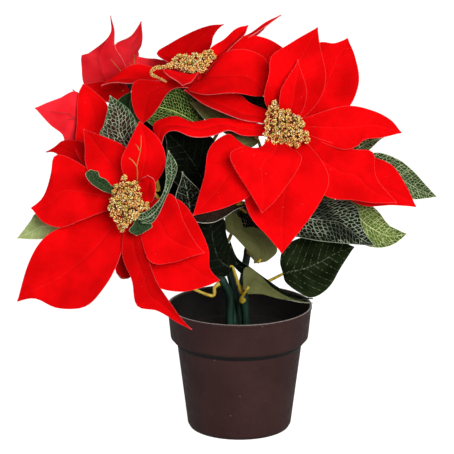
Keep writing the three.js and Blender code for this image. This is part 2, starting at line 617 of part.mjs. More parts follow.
// ---- leaves -------------------------------------------------------------
// stem and at say where the petiole joins: whose stem it is, and how far along.
const leaves = {
  upright_leaf: { stem: "far", at: 0.7, root: [-90, -40, 239], tip: [-103, -36, 287],
    left: [[-103, -43, 243], [-111, -45, 257], [-108, -43, 264], [-105, -39, 276]],
    right: [[-75, -41, 242], [-79, -41, 258], [-87, -39, 275], [-97, -37, 283]] },
  corner_leaf: { stem: "far", at: 0.75, root: [-82, 0, 254], tip: [-85, 0, 283],
    left: [[-93, -4, 260], [-98, -6, 275], [-93, -3, 281]],
    right: [[-80, -2, 262], [-79, -2, 275]] },
  under_top_leaf: { stem: "top", at: 0.88, root: [-29, -2, 250], tip: [-80, -8, 275],
    left: [[-43, -9, 251], [-64, -16, 256], [-77, -12, 264]],
    right: [[-32, 0, 268], [-43, 2, 281], [-55, 1, 286], [-68, -3, 283]] },
  turned_leaf: { stem: "right", at: 0.8, root: [15, -22, 248], tip: [-40, -5, 275],
    left: [[8, -27, 243], [-6, -27, 250], [-20, -22, 260], [-32, -14, 268]],
    right: [[12, -14, 262], [-5, -8, 268], [-22, 1, 273], [-32, -3, 276]] },
  long_right_leaf: { stem: "right", at: 0.72, root: [90, -5, 219], tip: [160, -10, 198],
    left: [[109, -7, 234], [128, -8, 229], [140, -8, 220], [151, -10, 208]],
    right: [[118, -13, 206], [138, -13, 197], [151, -12, 197]] },
  lower_right_leaf: { stem: "right", at: 0.6, root: [-1, -17, 190], tip: [109, -30, 162],
    left: [[20, -18, 199], [66, -27, 200], [92, -28, 197], [99, -29, 176]],
    right: [[1, -20, 172], [24, -28, 170], [44, -35, 171], [64, -41, 169], [90, -36, 165]] },
  yellow_green_leaf: { stem: "right", at: 0.66, root: [78, -10, 195], tip: [136, -15, 168],
    left: [[91, -12, 200], [110, -12, 189], [121, -14, 176], [128, -15, 172]],
    right: [[88, -17, 177], [100, -20, 161], [115, -21, 158], [127, -18, 161]] },
  hanging_leaf: { stem: "right", at: 0.4, via: [19, 0, 122], root: [36, -6, 132], tip: [94, -4, 154],
    left: [[33, -7, 143], [37, -5, 155], [54, -1, 162], [78, -2, 161]],
    right: [[38, -10, 126], [46, -15, 120], [59, -18, 115], [73, -19, 124], [83, -12, 139]] },
  small_right_leaf: { stem: "right", at: 0.85, root: [85, -12, 229], tip: [116, -14, 248],
    left: [101, -12, 249], right: [102, -16, 237] },
  pale_left_leaf: { stem: "left", at: 0.8, root: [-129, -30, 188], tip: [-179, -40, 171],
    left: [[-148, -45, 174], [-158, -46, 172], [-170, -43, 171]],
    right: [[-148, -35, 190], [-163, -38, 191], [-168, -39, 185]] },
  notch_leaf: { stem: "left", at: 0.6, root: [-40, -38, 190], tip: [-46, -40, 226],
    left: [-52, -42, 206], right: [-31, -38, 205] },
  dark_middle_leaf: { stem: "top", at: 0.62, root: [-23, -8, 192], tip: [-62, -10, 253],
    left: [-58, -20, 218], right: [-23, 6, 242] },
  rear_middle_leaf: { stem: "top", at: 0.55, root: [-19, 15, 181], tip: [-41, 30, 283],
    left: [[-60, 14, 178], [-76, 18, 207], [-83, 20, 240], [-82, 23, 256], [-67, 27, 274]],
    right: [[-15, 16, 197], [-29, 18, 230], [-29, 22, 255], [-30, 26, 272]] },
  edge_leaf: { stem: "top", at: 0.58, root: [2, -45, 201], tip: [-42, -52, 191],
    left: [[-1, -46, 197], [-6, -49, 195], [-12, -54, 192], [-21, -57, 189], [-33, -56, 188]],
    right: [[-12, -47, 203], [-28, -50, 199]] },
  olive_leaf: { stem: "right", at: 0.5, root: [14, -42, 151], tip: [-8, -29, 193],
    left: [[11, -42, 155], [5, -40, 162], [-4, -35, 171], [-11, -30, 175], [-12, -29, 184]],
    right: [[23, -45, 154], [30, -44, 163], [19, -41, 176], [10, -38, 180], [3, -34, 178], [1, -31, 184]] },
  rim_leaf: { stem: "right", at: 0.34, via: [1, -16, 113], root: [5, -24, 122], tip: [61, 0, 105],
    left: [[3, -26, 138], [7, -25, 143], [17, -20, 134], [27, -14, 122], [42, -6, 111]],
    right: [[18, -22, 119], [33, -14, 113], [48, -6, 108]] },
  under_left_leaf: { stem: "left", at: 0.46, via: [-23, -13, 115], root: [-46, -12, 124],
    tip: [-84, -36, 165],
    left: [-72, -40, 146], right: [-58, -16, 160] },
  rear_right_leaf: { stem: "right", at: 0.7, root: [36, 20, 190], tip: [80, 62, 198],
    left: [50, 52, 214], right: [74, 28, 180] },
  rear_top_leaf: { stem: "top", at: 0.8, root: [-12, 34, 252], tip: [32, 78, 262],
    left: [-8, 62, 266], right: [22, 50, 248] },
  rear_left_leaf: { stem: "rear", at: 0.7, root: [-62, 56, 222], tip: [-110, 104, 212],
    left: [-100, 66, 206], right: [-70, 98, 230] },
  rear_low_leaf: { stem: "top", at: 0.5, root: [-3, 28, 168], tip: [28, 84, 162],
    left: [-4, 66, 176], right: [30, 44, 158] },
  dark_rim_leaf: { stem: "top", at: 0.45, root: [-9, -6, 157], tip: [61, 6, 107],
    left: [[-2, -9, 146], [9, -12, 139], [23, -10, 128], [42, -2, 114]],
    right: [[-7, -8, 142], [4, -12, 131], [21, -12, 119], [40, -6, 110]] },
  black_green_leaf: { stem: "right", at: 0.38, via: [1, -14, 119], root: [-5, -22, 142], tip: [-22, -38, 197],
    left: [[-11, -26, 135], [-25, -28, 138], [-29, -31, 150], [-33, -34, 168], [-36, -37, 184]],
    right: [[-4, -23, 152], [-8, -27, 162], [-11, -31, 173], [-12, -35, 184]] },
};

// A printed fabric blade bonded to a plastic petiole, which ends against its stem.
function leafSolid(leaf) {
  const stem = stemCurves[leaf.stem];
  const root = vec(leaf.root);
  const join = stem.getPointAt(leaf.at);
  const along = stem.getTangentAt(leaf.at);
  const away = (leaf.via ? vec(leaf.via) : root.clone()).sub(join);
  away.addScaledVector(along, -away.dot(along)).normalize();
  const start = join.clone().addScaledVector(away, flowers[leaf.stem].stemRadius + 2 * gap);
  const blade = { cup: 2.5, neck: 3, ...leaf, root };
  const inBlade = sheetShape(blade)(0.18, 0).place;
  const between = leaf.via ? [vec(leaf.via)] : [];
  const petiole = new THREE.CatmullRomCurve3([
    start, start.clone().addScaledVector(away, 5), ...between, root, inBlade,
  ], false, "catmullrom", 0.5);
  return joinSolids([rodAlong(petiole, petioleRadius, 5, 7), sheetGeometry(blade)]);
}

for (const [name, leaf] of Object.entries(leaves)) {
  addMesh(name, toGeometry(leafSolid(leaf)), "leaf");
}

export default plant;
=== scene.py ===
import math
import random

import bmesh
import bpy
import numpy as np
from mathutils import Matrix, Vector


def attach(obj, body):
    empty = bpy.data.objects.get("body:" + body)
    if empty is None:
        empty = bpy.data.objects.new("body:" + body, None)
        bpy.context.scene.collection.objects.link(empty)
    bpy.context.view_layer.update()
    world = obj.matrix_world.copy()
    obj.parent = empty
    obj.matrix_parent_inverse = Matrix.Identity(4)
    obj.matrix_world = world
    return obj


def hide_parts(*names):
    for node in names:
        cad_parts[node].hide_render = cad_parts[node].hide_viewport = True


# Artificial poinsettia in a 12 cm nursery pot. Shapes are worked out in millimetres
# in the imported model's frame, and turned into metres when a mesh is made.
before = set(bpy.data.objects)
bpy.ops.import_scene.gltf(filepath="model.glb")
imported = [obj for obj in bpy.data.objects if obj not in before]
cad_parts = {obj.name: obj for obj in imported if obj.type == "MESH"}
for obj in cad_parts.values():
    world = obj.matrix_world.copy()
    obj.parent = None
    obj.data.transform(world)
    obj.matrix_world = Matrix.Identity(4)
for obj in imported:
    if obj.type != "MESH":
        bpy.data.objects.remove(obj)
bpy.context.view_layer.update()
mm = 0.001
print("frame loaded:", len(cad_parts), "nodes")


# ---- small maths
def unit(vectors):
    vectors = np.asarray(vectors, float)
    return vectors / np.maximum(np.linalg.norm(vectors, axis=-1, keepdims=True), 1e-12)


def roundTurn(sides):
    return np.linspace(0, 2 * math.pi, sides, endpoint=False)


# How far along the path each of its points is.
def travelled(path):
    return np.concatenate([[0], np.cumsum(np.linalg.norm(np.diff(path, axis=0), axis=1))])


# A soft curve through the points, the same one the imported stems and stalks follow.
def curveThrough(points, samples=240):
    points = np.array(points, float)
    before = np.vstack([2 * points[0] - points[1], points[:-1]])
    after = np.vstack([points[1:], 2 * points[-1] - points[-2]])
    slopes = 0.5 * (after - before)
    spans = len(points) - 1
    place = np.linspace(0, spans, samples)
    first = np.minimum(place.astype(int), spans - 1)
    t = (place - first)[:, None]
    a, b = points[first], points[first + 1]
    slopeA, slopeB = slopes[first], slopes[first + 1]
    return (a + slopeA * t + (-3 * a + 3 * b - 2 * slopeA - slopeB) * t ** 2
            + (2 * a - 2 * b + slopeA + slopeB) * t ** 3)


def evenly(path, count):
    lengths = travelled(path)
    wanted = np.linspace(0, lengths[-1], count)
    return np.stack([np.interp(wanted, lengths, path[:, axis]) for axis in range(3)], axis=1)


# ---- shader helpers
def feed(target, value):
    if isinstance(value, Signal):
        value.tree.links.new(value.socket, target)
    else:
        target.default_value = value


def maths(tree, operation, *values, clamp=False):
    node = tree.nodes.new("ShaderNodeMath")
    node.operation = operation
    node.use_clamp = clamp
    for target, value in zip(node.inputs, values):
        feed(target, value)
    return Signal(tree, node.outputs[0])


# A socket that can be reckoned with: sums and products of signals become maths nodes.
class Signal:
    def __init__(self, tree, socket):
        self.tree = tree
        self.socket = socket

    def __add__(self, other):
        return maths(self.tree, "ADD", self, other)

    def __sub__(self, other):
        return maths(self.tree, "SUBTRACT", self, other)

    def __mul__(self, other):
        return maths(self.tree, "MULTIPLY", self, other)

    def __truediv__(self, other):
        return maths(self.tree, "DIVIDE", self, other)

    def __rtruediv__(self, other):
        return maths(self.tree, "DIVIDE", other, self)

    def __abs__(self):
        return maths(self.tree, "ABSOLUTE", self)

    def most(self, other):
        return maths(self.tree, "MAXIMUM", self, other)

    # goes from start to end while the signal goes from low to high
    def fade(self, low, high, start=0.0, end=1.0):
        node = self.tree.nodes.new("ShaderNodeMapRange")
        node.interpolation_type = "SMOOTHSTEP"
        for target, amount in zip(node.inputs, (self, low, high, start, end)):
            feed(target, amount)
        return Signal(self.tree, node.outputs[0])


def addNode(tree, kind, options=None, **inputs):
    node = tree.nodes.new(kind)
    for option, value in (options or {}).items():
        setattr(node, option, value)
    for label, value in inputs.items():
        feed(node.inputs[label], value)
    return {socket.name: Signal(tree, socket) for socket in node.outputs}


def blend(tree, factor, first, second, kind="MIX"):
    node = tree.nodes.new("ShaderNodeMix")
    node.data_type = "RGBA"
    node.blend_type = kind
    for index, value in ((0, factor), (6, first), (7, second)):
        feed(node.inputs[index], (*value, 1.0) if isinstance(value, tuple) else value)
    return Signal(tree, node.outputs[2])


def noise(tree, vector, scale, detail=3.0, roughness=0.55):
    return addNode(tree, "ShaderNodeTexNoise", Vector=vector, Scale=scale, Detail=detail,
                   Roughness=roughness)["Fac"]


def stretched(tree, vector, scale):
    return addNode(tree, "ShaderNodeMapping", Vector=vector, Scale=scale)["Vector"]


def attribute(tree, name, output="Vector"):
    return addNode(tree, "ShaderNodeAttribute", {"attribute_name": name})[output]


def place(tree):
    return addNode(tree, "ShaderNodeTexCoord")["Object"]


def newGroup(name, inputs, outputs):
    group = bpy.data.node_groups.new(name, "ShaderNodeTree")
    for label, value in inputs.items():
        kind = "NodeSocketVector" if value is None else "NodeSocketFloat"
        socket = group.interface.new_socket(label, in_out="INPUT", socket_type=kind)
        if value is not None:
            socket.default_value = value
    for label in outputs:
        group.interface.new_socket(label, in_out="OUTPUT", socket_type="NodeSocketFloat")
    return group, addNode(group, "NodeGroupInput"), group.nodes.new("NodeGroupOutput").inputs


def useGroup(tree, group, **values):
    return addNode(tree, "ShaderNodeGroup", {"node_tree": group}, **values)


def newMaterial(name, **sockets):
    material = bpy.data.materials.new(name)
    material.use_nodes = True
    shader = material.node_tree.nodes["Principled BSDF"]
    for label, value in sockets.items():
        shader.inputs[label.replace("_", " ")].default_value = value
    return material, material.node_tree, shader


# The colour and the fine relief of a finish.
def dress(shader, colour, height, strength, distance):
    feed(shader.inputs["Base Color"], colour)
    bump = addNode(height.tree, "ShaderNodeBump", Strength=strength, Distance=distance, Height=height)
    feed(shader.inputs["Normal"], bump["Normal"])


# ---- shared effects
veinLook = {
    "midribSoft": 0.25,
    "lean": 0.62,      # side veins lean and sweep towards the tip
    "sweep": 0.012,
    "byTurns": 0.45,   # and leave the midrib by turns
    "sideEdge": (0.14, 0.34),
    "netEdge": (0.02, 0.07),
    "netUneven": 0.6,
    "netApart": 31.0,  # so that the two halves of a leaf differ
}


# Midrib, side veins and a net of small veins. Lay holds millimetres across and along.
def makeVeins():
    group, given, made = newGroup("veins", {"Lay": None, "Spacing": 6.5, "Cell": 2.3},
                                  ["Midrib", "Side", "Net"])
    across, along, share = addNode(group, "ShaderNodeSeparateXYZ", Vector=given["Lay"]).values()
    out = abs(across)
    soft = veinLook["midribSoft"]
    feed(made["Midrib"], (out - share.fade(0.1, 1.0, 0.5, 0.2)).fade(-soft, soft, 1.0, 0.0))
    byTurns = maths(group, "GREATER_THAN", across, 0.0) * veinLook["byTurns"]
    level = along - out * veinLook["lean"] - out * out * veinLook["sweep"]
    part = maths(group, "FRACT", level / given["Spacing"] + byTurns)
    near = abs(part - 0.5) * given["Spacing"]
    feed(made["Side"], near.fade(*veinLook["sideEdge"], 1.0, 0.0))
    # the net of small veins runs in rows along the side veins
    rows = addNode(group, "ShaderNodeCombineXYZ", X=(out + byTurns * veinLook["netApart"]) / given["Cell"],
                   Y=level / given["Cell"])
    lines = {"voronoi_dimensions": "2D", "feature": "DISTANCE_TO_EDGE"}
    cells = addNode(group, "ShaderNodeTexVoronoi", lines, Vector=rows["Vector"], Scale=1.0,
                    Randomness=veinLook["netUneven"])
    feed(made["Net"], cells["Distance"].fade(*veinLook["netEdge"], 1.0, 0.0))
    return group


# Pale grains of dust and lint, a share of the cells hold one.
def makeDust():
    group, given, made = newGroup("dust", {"Place": None, "Cell": 0.006, "Size": 0.04, "Share": 0.2},
                                  ["Mask"])
    cells = addNode(group, "ShaderNodeTexVoronoi", Vector=given["Place"], Scale=1.0 / given["Cell"])
    chance = addNode(group, "ShaderNodeSeparateColor", Color=cells["Color"])["Red"]
    held = maths(group, "LESS_THAN", chance, given["Share"])
    feed(made["Mask"], held * cells["Distance"].fade(given["Size"], given["Size"] * 0.5))
    return group


# A thin pale line along the edge of a die-cut piece: its bare cut edge, and on velvet also a painted edge
# highlight.
def makePaleEdgeLine():
    group, given, made = newGroup("pale edge line", {"Edge": 0.0, "Width": 0.5}, ["Mask"])
    feed(made["Mask"], given["Edge"].fade(0.0, given["Width"], 1.0, 0.0))
    return group


# Short pile or fine grain: a height for bumps and a slow change of tone.
def makeNap():
    group, given, made = newGroup("nap", {"Place": None, "Fine": 900.0, "Broad": 45.0}, ["Height", "Tone"])
    feed(made["Height"], noise(group, given["Place"], given["Fine"], 2.0, 0.5))
    feed(made["Tone"], noise(group, given["Place"], given["Broad"], 3.0, 0.5))
    return group


veins = makeVeins()
dust = makeDust()
paleEdgeLine = makePaleEdgeLine()
nap = makeNap()


# ---- finishes
velvetLook = {"spacing": 8.0, "cell": 3.0, "footShade": 0.55, "lineTone": 0.025, "sideLine": 0.6,
              "edgeWide": 0.5, "edgeTone": 0.4, "lint": (0.95, 0.35, 0.3), "lintTone": 0.55}


def makeVelvet(name, deep, bright, line, veinDepth, pile):
    material, tree, shader = newMaterial(name, Roughness=0.95, Specular_IOR_Level=0.03, Sheen_Weight=0.04,
                                         Sheen_Roughness=0.35, Sheen_Tint=(1.0, 0.12, 0.12, 1.0))
    at = place(tree)
    lay = attribute(tree, "lay")
    pileMarks = useGroup(tree, nap, Place=at, Fine=1100.0, Broad=38.0)
    lines = useGroup(tree, veins, Lay=lay, Spacing=velvetLook["spacing"], Cell=velvetLook["cell"])
    colour = blend(tree, pileMarks["Tone"].fade(0.3, 0.7), deep, bright)
    # darker towards the foot: painted shade where the petals crowd round the hub
    share = addNode(tree, "ShaderNodeSeparateXYZ", Vector=lay)["Z"]
    colour = blend(tree, share.fade(0.0, 0.35, velvetLook["footShade"], 0.0), colour, deep)
    raised = lines["Midrib"].most(lines["Side"] * velvetLook["sideLine"])
    colour = blend(tree, raised * velvetLook["lineTone"], colour, line)
    # a pale line along the edge: the bare cut edge, widened on the front by a painted edge highlight
    paleEdge = useGroup(tree, paleEdgeLine, Edge=attribute(tree, "edge", "Fac"), Width=velvetLook["edgeWide"])["Mask"]
    colour = blend(tree, paleEdge * velvetLook["edgeTone"], colour, line)
    lint = useGroup(tree, dust, Place=at, Cell=0.0048, Size=0.05, Share=0.4)["Mask"]
    colour = blend(tree, lint * velvetLook["lintTone"], colour, velvetLook["lint"])
    # the tint attribute darkens some petals whole: painted shade for petals turned from the light
    colour = blend(tree, 1.0, colour, attribute(tree, "tint", "Color"), "MULTIPLY")
    dress(shader, colour, pileMarks["Height"] * pile + raised * veinDepth, 0.5, 0.0003)
    return material


def makeLeafPrint(name, look):
    material, tree, shader = newMaterial(name, Roughness=0.8, Specular_IOR_Level=0.03)
    at = place(tree)
    edge = attribute(tree, "edge", "Fac")
    grain = useGroup(tree, nap, Place=at, Fine=1400.0, Broad=60.0)
    lines = useGroup(tree, veins, Lay=attribute(tree, "lay"), Spacing=look["spacing"], Cell=look["cell"])
    colour = blend(tree, grain["Tone"].fade(0.35, 0.7), look["ground"], look["mottled"])
    colour = blend(tree, edge.fade(1.0, 6.0, 0.8, 0.0), colour, look["border"])
    printed = lines["Midrib"] * look["midrib"]
    printed = printed.most(lines["Side"] * look["side"]).most(lines["Net"] * look["net"])
    worn = noise(tree, at, look["wear"]).fade(0.4, 0.6, look["worn"], 1.0)
    # the tint fades the print, on printed sheets given a tone below 1
    worn = worn * attribute(tree, "tint", "Fac")
    colour = blend(tree, printed * worn, colour, look["vein"])
    paleEdge = useGroup(tree, paleEdgeLine, Edge=edge, Width=0.6)["Mask"]
    colour = blend(tree, paleEdge * look["rim"], colour, look["vein"])
    dress(shader, colour, grain["Height"] * 0.5 + printed, 0.35, 0.0003)
    return material


def makeLeafBack(name, ground, vein):
    material, tree, shader = newMaterial(name, Roughness=0.8, Specular_IOR_Level=0.2)
    grain = useGroup(tree, nap, Place=place(tree), Fine=1200.0, Broad=70.0)
    lines = useGroup(tree, veins, Lay=attribute(tree, "lay"), Spacing=7.0, Cell=2.4)
    seen = (lines["Side"] * 0.35).most(lines["Net"] * 0.15)
    pale = maths(tree, "ADD", seen, grain["Tone"].fade(0.3, 0.7, 0.0, 0.5), clamp=True)
    dress(shader, blend(tree, pale, ground, vein), grain["Height"] + lines["Side"], 0.4, 0.00025)
    return material


def makePlastic(name, dark, light, roughness, streak=(220.0, 220.0, 40.0)):
    material, tree, shader = newMaterial(name, Roughness=roughness, Specular_IOR_Level=0.4)
    at = place(tree)
    streaks = noise(tree, stretched(tree, at, streak), 1.0, 4.0)
    worn = noise(tree, at, 90.0).fade(0.3, 0.7, roughness - 0.06, roughness + 0.1)
    feed(shader.inputs["Roughness"], worn)
    dress(shader, blend(tree, streaks.fade(0.3, 0.7), dark, light), streaks, 0.3, 0.0003)
    return material


def makeBeads():
    material, tree, shader = newMaterial("painted beads", Roughness=0.38, Specular_IOR_Level=0.5)
    speckle = noise(tree, place(tree), 1500.0, 2.0).fade(0.4, 0.7, 0.0, 0.2)
    colour = blend(tree, speckle, attribute(tree, "tint", "Color"), (0.95, 0.78, 0.42))
    dress(shader, colour, noise(tree, place(tree), 2500.0, 2.0), 0.3, 0.0001)
    return material


potLook = {
    "dark": (0.036, 0.0125, 0.0115),
    "light": (0.050, 0.0195, 0.0180),
    "scuffAndHighlight": (0.42, 0.37, 0.34),
    "roughness": 0.45,
    "lip": (0.1036, 0.1040, 0.75),  # painted highlight along the top of the lip: from and to this height, and how much
}


def makePotPlastic():
    material, tree, shader = newMaterial("brown pot plastic", Roughness=potLook["roughness"],
                                         Specular_IOR_Level=0.3)
    at = place(tree)
    colour = blend(tree, noise(tree, at, 26.0, 4.0).fade(0.3, 0.75), potLook["dark"], potLook["light"])
    specks = useGroup(tree, dust, Place=at, Cell=0.008, Size=0.065, Share=0.5)["Mask"]
    grains = useGroup(tree, dust, Place=at, Cell=0.003, Size=0.09, Share=0.08)["Mask"]
    scratches = noise(tree, stretched(tree, at, (60.0, 60.0, 900.0)), 1.0, 2.0).fade(0.68, 0.76, 0.0, 0.08)
    marks = specks.most(grains).most(scratches)
    lipFoot, lipTop, highlightAmount = potLook["lip"]
    height = addNode(tree, "ShaderNodeSeparateXYZ", Vector=at)["Z"]
    colour = blend(tree, marks * 0.5, colour, potLook["scuffAndHighlight"])
    # a painted highlight along the top of the lip, in the scuff colour
    colour = blend(tree, height.fade(lipFoot, lipTop, 0.0, highlightAmount), colour, potLook["scuffAndHighlight"])
    grain = useGroup(tree, nap, Place=at, Fine=1300.0, Broad=200.0)
    feed(shader.inputs["Roughness"], grain["Tone"].fade(0.3, 0.7, 0.34, 0.5) + marks * 0.2)
    dress(shader, colour, grain["Height"] + marks, 0.12, 0.0002)
    return material


cementLook = {"dark": (0.004, 0.003, 0.0025), "light": (0.014, 0.011, 0.009), "grit": (0.12, 0.1, 0.08)}


def makeCement():
    material, tree, shader = newMaterial("dark cement", Roughness=0.95, Specular_IOR_Level=0.1)
    at = place(tree)
    grain = useGroup(tree, nap, Place=at, Fine=700.0, Broad=90.0)
    colour = blend(tree, grain["Tone"].fade(0.3, 0.7), cementLook["dark"], cementLook["light"])
    grit = useGroup(tree, dust, Place=at, Cell=0.003, Size=0.2, Share=0.12)["Mask"]
    colour = blend(tree, grit * 0.4, colour, cementLook["grit"])
    dress(shader, colour, grain["Height"] + grit, 0.7, 0.0008)
    return material


evenStreak = (300.0, 300.0, 300.0)
insideStreak = (90.0, 90.0, 60.0)
velvetFront = makeVelvet("red velvet", (0.62, 0.0008, 0.0015), (0.86, 0.0015, 0.003), (0.95, 0.13, 0.13),
                         veinDepth=0.35, pile=0.6)
velvetBack = makeVelvet("velvet reverse", (0.76, 0.008, 0.016), (0.98, 0.026, 0.040), (0.9, 0.16, 0.16),
                        veinDepth=0.3, pile=0.9)
velvetCut = makePlastic("cut velvet edge", (0.80, 0.10, 0.11), (0.92, 0.22, 0.22), 0.8, evenStreak)
bractRib = makePlastic("tan rib", (0.42, 0.11, 0.02), (0.60, 0.22, 0.05), 0.5)
redRib = makePlastic("red rib", (0.55, 0.006, 0.01), (0.75, 0.02, 0.025), 0.6)
stemGreen = makePlastic("green stem", (0.004, 0.016, 0.009), (0.014, 0.050, 0.032), 0.42)
stalkYellow = makePlastic("yellow stalk", (0.42, 0.27, 0.012), (0.66, 0.50, 0.05), 0.42)
beadPaint = makeBeads()
beadCore = makePlastic("bead core", (0.10, 0.010, 0.003), (0.24, 0.045, 0.008), 0.8, evenStreak)
potPlastic = makePotPlastic()
# the inside of the pot is painted near-black as painted shade
potInsideShade = makePlastic("pot inside painted shade", (0.003, 0.002, 0.002), (0.009, 0.006, 0.005), 0.7, insideStreak)
cement = makeCement()
leafPrintLooks = {
    "dark": {"ground": (0.003, 0.005, 0.002), "mottled": (0.009, 0.018, 0.006),
             "border": (0.006, 0.012, 0.004), "vein": (0.54, 0.60, 0.46),
             "cell": 3.4, "midrib": 0.8, "side": 0.5, "net": 0.85, "wear": 60.0, "worn": 0.2},
    "brown": {"ground": (0.034, 0.015, 0.010), "mottled": (0.024, 0.012, 0.007),
              "border": (0.018, 0.060, 0.018), "vein": (0.62, 0.72, 0.50),
              "cell": 3.4, "midrib": 0.7, "side": 0.1, "net": 0.85, "rim": 0.3},
    "green": {"ground": (0.006, 0.022, 0.003), "mottled": (0.017, 0.055, 0.006),
              "border": (0.016, 0.055, 0.007), "vein": (0.46, 0.60, 0.16),
              "cell": 2.4, "midrib": 0.9, "side": 0.3, "net": 0.95},
    "plain": {"ground": (0.016, 0.045, 0.014), "mottled": (0.030, 0.075, 0.022),
              "border": (0.02, 0.06, 0.02), "vein": (0.26, 0.36, 0.20),
              "cell": 2.3, "midrib": 0.5, "side": 0.25, "net": 0.12, "rim": 0.8},
    "forest": {"ground": (0.009, 0.024, 0.009), "mottled": (0.020, 0.055, 0.016),
               "border": (0.02, 0.05, 0.015), "vein": (0.60, 0.70, 0.44),
               "cell": 2.9, "midrib": 0.5, "side": 0.25, "net": 0.95, "rim": 0.5},
    "sage": {"ground": (0.020, 0.050, 0.016), "mottled": (0.045, 0.085, 0.026),
             "border": (0.03, 0.06, 0.015), "vein": (0.64, 0.72, 0.40),
             "cell": 2.7, "midrib": 0.7, "side": 0.6, "net": 0.9},
    "lime": {"ground": (0.085, 0.15, 0.02), "mottled": (0.14, 0.22, 0.035),
             "border": (0.05, 0.09, 0.015), "vein": (0.78, 0.82, 0.42),
             "cell": 3.0, "midrib": 0.9, "side": 0.6, "net": 0.95},
    "pale": {"ground": (0.26, 0.36, 0.11), "mottled": (0.36, 0.45, 0.17),
             "border": (0.30, 0.38, 0.12), "vein": (0.72, 0.74, 0.48),
             "cell": 2.0, "midrib": 0.7, "side": 0.6, "net": 0.5, "rim": 0.9},
    "umber": {"ground": (0.050, 0.022, 0.014), "mottled": (0.024, 0.011, 0.008),
              "border": (0.012, 0.008, 0.005), "vein": (0.66, 0.62, 0.52),
              "cell": 2.6, "midrib": 0.0, "side": 0.05, "net": 0.05, "rim": 1.0},
    # shadowBlack: the dark print darkened further as painted shade, for leaves deep among the others
    "shadowBlack": {"ground": (0.002, 0.003, 0.0015), "mottled": (0.004, 0.007, 0.003),
              "border": (0.003, 0.005, 0.002), "vein": (0.055, 0.070, 0.048),
              "cell": 2.6, "midrib": 0.9, "side": 0.5, "net": 0.15, "wear": 500.0, "worn": 0.0, "rim": 0.5},
    "outlined": {"ground": (0.003, 0.005, 0.002), "mottled": (0.006, 0.010, 0.004),
                 "border": (0.004, 0.007, 0.003), "vein": (0.46, 0.54, 0.40),
                 "cell": 2.6, "midrib": 0.9, "side": 0.4, "net": 0.3,
                 "wear": 600.0, "worn": 0.0, "rim": 1.0},
    "night": {"ground": (0.005, 0.009, 0.002), "mottled": (0.018, 0.030, 0.009),
              "border": (0.012, 0.022, 0.006), "vein": (0.30, 0.36, 0.22),
              "cell": 2.6, "midrib": 0.6, "side": 0.5, "net": 0.0, "wear": 800.0, "worn": -0.6, "rim": 0.25},
}
leafPrintUsual = {"spacing": 7.0, "wear": 170.0, "worn": 0.55, "rim": 0.7}
leafPrints = {kind: makeLeafPrint(f"{kind} leaf print", {**leafPrintUsual, **look})
              for kind, look in leafPrintLooks.items()}
oliveBack = makeLeafBack("olive leaf back", (0.085, 0.092, 0.024), (0.17, 0.178, 0.066))
leafCut = makePlastic("cut leaf edge", (0.30, 0.34, 0.24), (0.50, 0.54, 0.42), 0.8, evenStreak)
print("finishes made:", len(bpy.data.materials))


# ---- mesh parts: a part is its points, faces, a finish for each face and its print marks
def newPart(points, faces, kinds, lay=None, edge=None, tint=None):
    count = len(points)
    return {
        "points": np.asarray(points, float),
        "faces": faces,
        "kinds": kinds if isinstance(kinds, list) else [kinds] * len(faces),
        "lay": np.zeros((count, 3)) if lay is None else lay,
        "edge": np.full(count, 9.0) if edge is None else edge,
        "tint": np.ones((count, 4)) if tint is None else tint,
    }


def intoScene(name, content):
    piece = bpy.data.objects.new(name, content)
    bpy.context.scene.collection.objects.link(piece)
    return piece


# Puts the parts together as one piece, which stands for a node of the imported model.
def makePiece(name, node, parts, finishes, crease=42):
    offset = 0
    faces, kinds = [], []
    for part in parts:
        faces += [tuple(index + offset for index in face) for face in part["faces"]]
        kinds += part["kinds"]
        offset += len(part["points"])
    mesh = bpy.data.meshes.new(name)
    mesh.from_pydata((np.vstack([part["points"] for part in parts]) * mm).tolist(), [], faces)
    for finish in finishes:
        mesh.materials.append(finish)
    mesh.polygons.foreach_set("material_index", kinds)
    for label, kind, field in (("lay", "FLOAT_VECTOR", "vector"), ("edge", "FLOAT", "value"),
                               ("tint", "FLOAT_COLOR", "color")):
        values = np.concatenate([part[label] for part in parts]).astype(np.float32).ravel()
        mesh.attributes.new(label, kind, "POINT").data.foreach_set(field, values)
    mesh.shade_smooth()
    mesh.set_sharp_from_angle(angle=math.radians(crease))
    mesh.update()
    piece = intoScene(name, mesh)
    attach(piece, "root")
    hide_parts(node)


def ringPoints(centre, radius, side, up, sides):
    return [centre + radius * (math.cos(a) * side + math.sin(a) * up) for a in roundTurn(sides)]


# The faces between neighbouring rings of points.
def ringFaces(rings, sides, first=0):
    faces = []
    for ring in range(first, first + (rings - 1) * sides, sides):
        for column in range(sides):
            a, b = ring + column, ring + (column + 1) % sides
            faces.append((a, b, b + sides, a + sides))
    return faces


def tubePart(path, radii, sides=10, kind=0):
    path = np.asarray(path, float)
    ahead = unit(np.gradient(path, axis=0))
    spare = np.array([0, 0, 1.0]) if abs(ahead[0][2]) < 0.9 else np.array([1.0, 0, 0])
    side = unit(np.cross(ahead[0], spare))
    lengths = travelled(path)
    points, lay = [], []
    for centre, direction, radius, length in zip(path, ahead, np.broadcast_to(radii, len(path)), lengths):
        side = unit(side - direction * (side @ direction))
        points += ringPoints(centre, radius, side, np.cross(direction, side), sides)
        lay += [(a * radius, length, length / lengths[-1]) for a in roundTurn(sides)]
    faces = ringFaces(len(path), sides)
    faces.append(tuple(reversed(range(sides))))
    faces.append(tuple(range(len(points) - sides, len(points))))
    return newPart(points, faces, kind, np.array(lay))


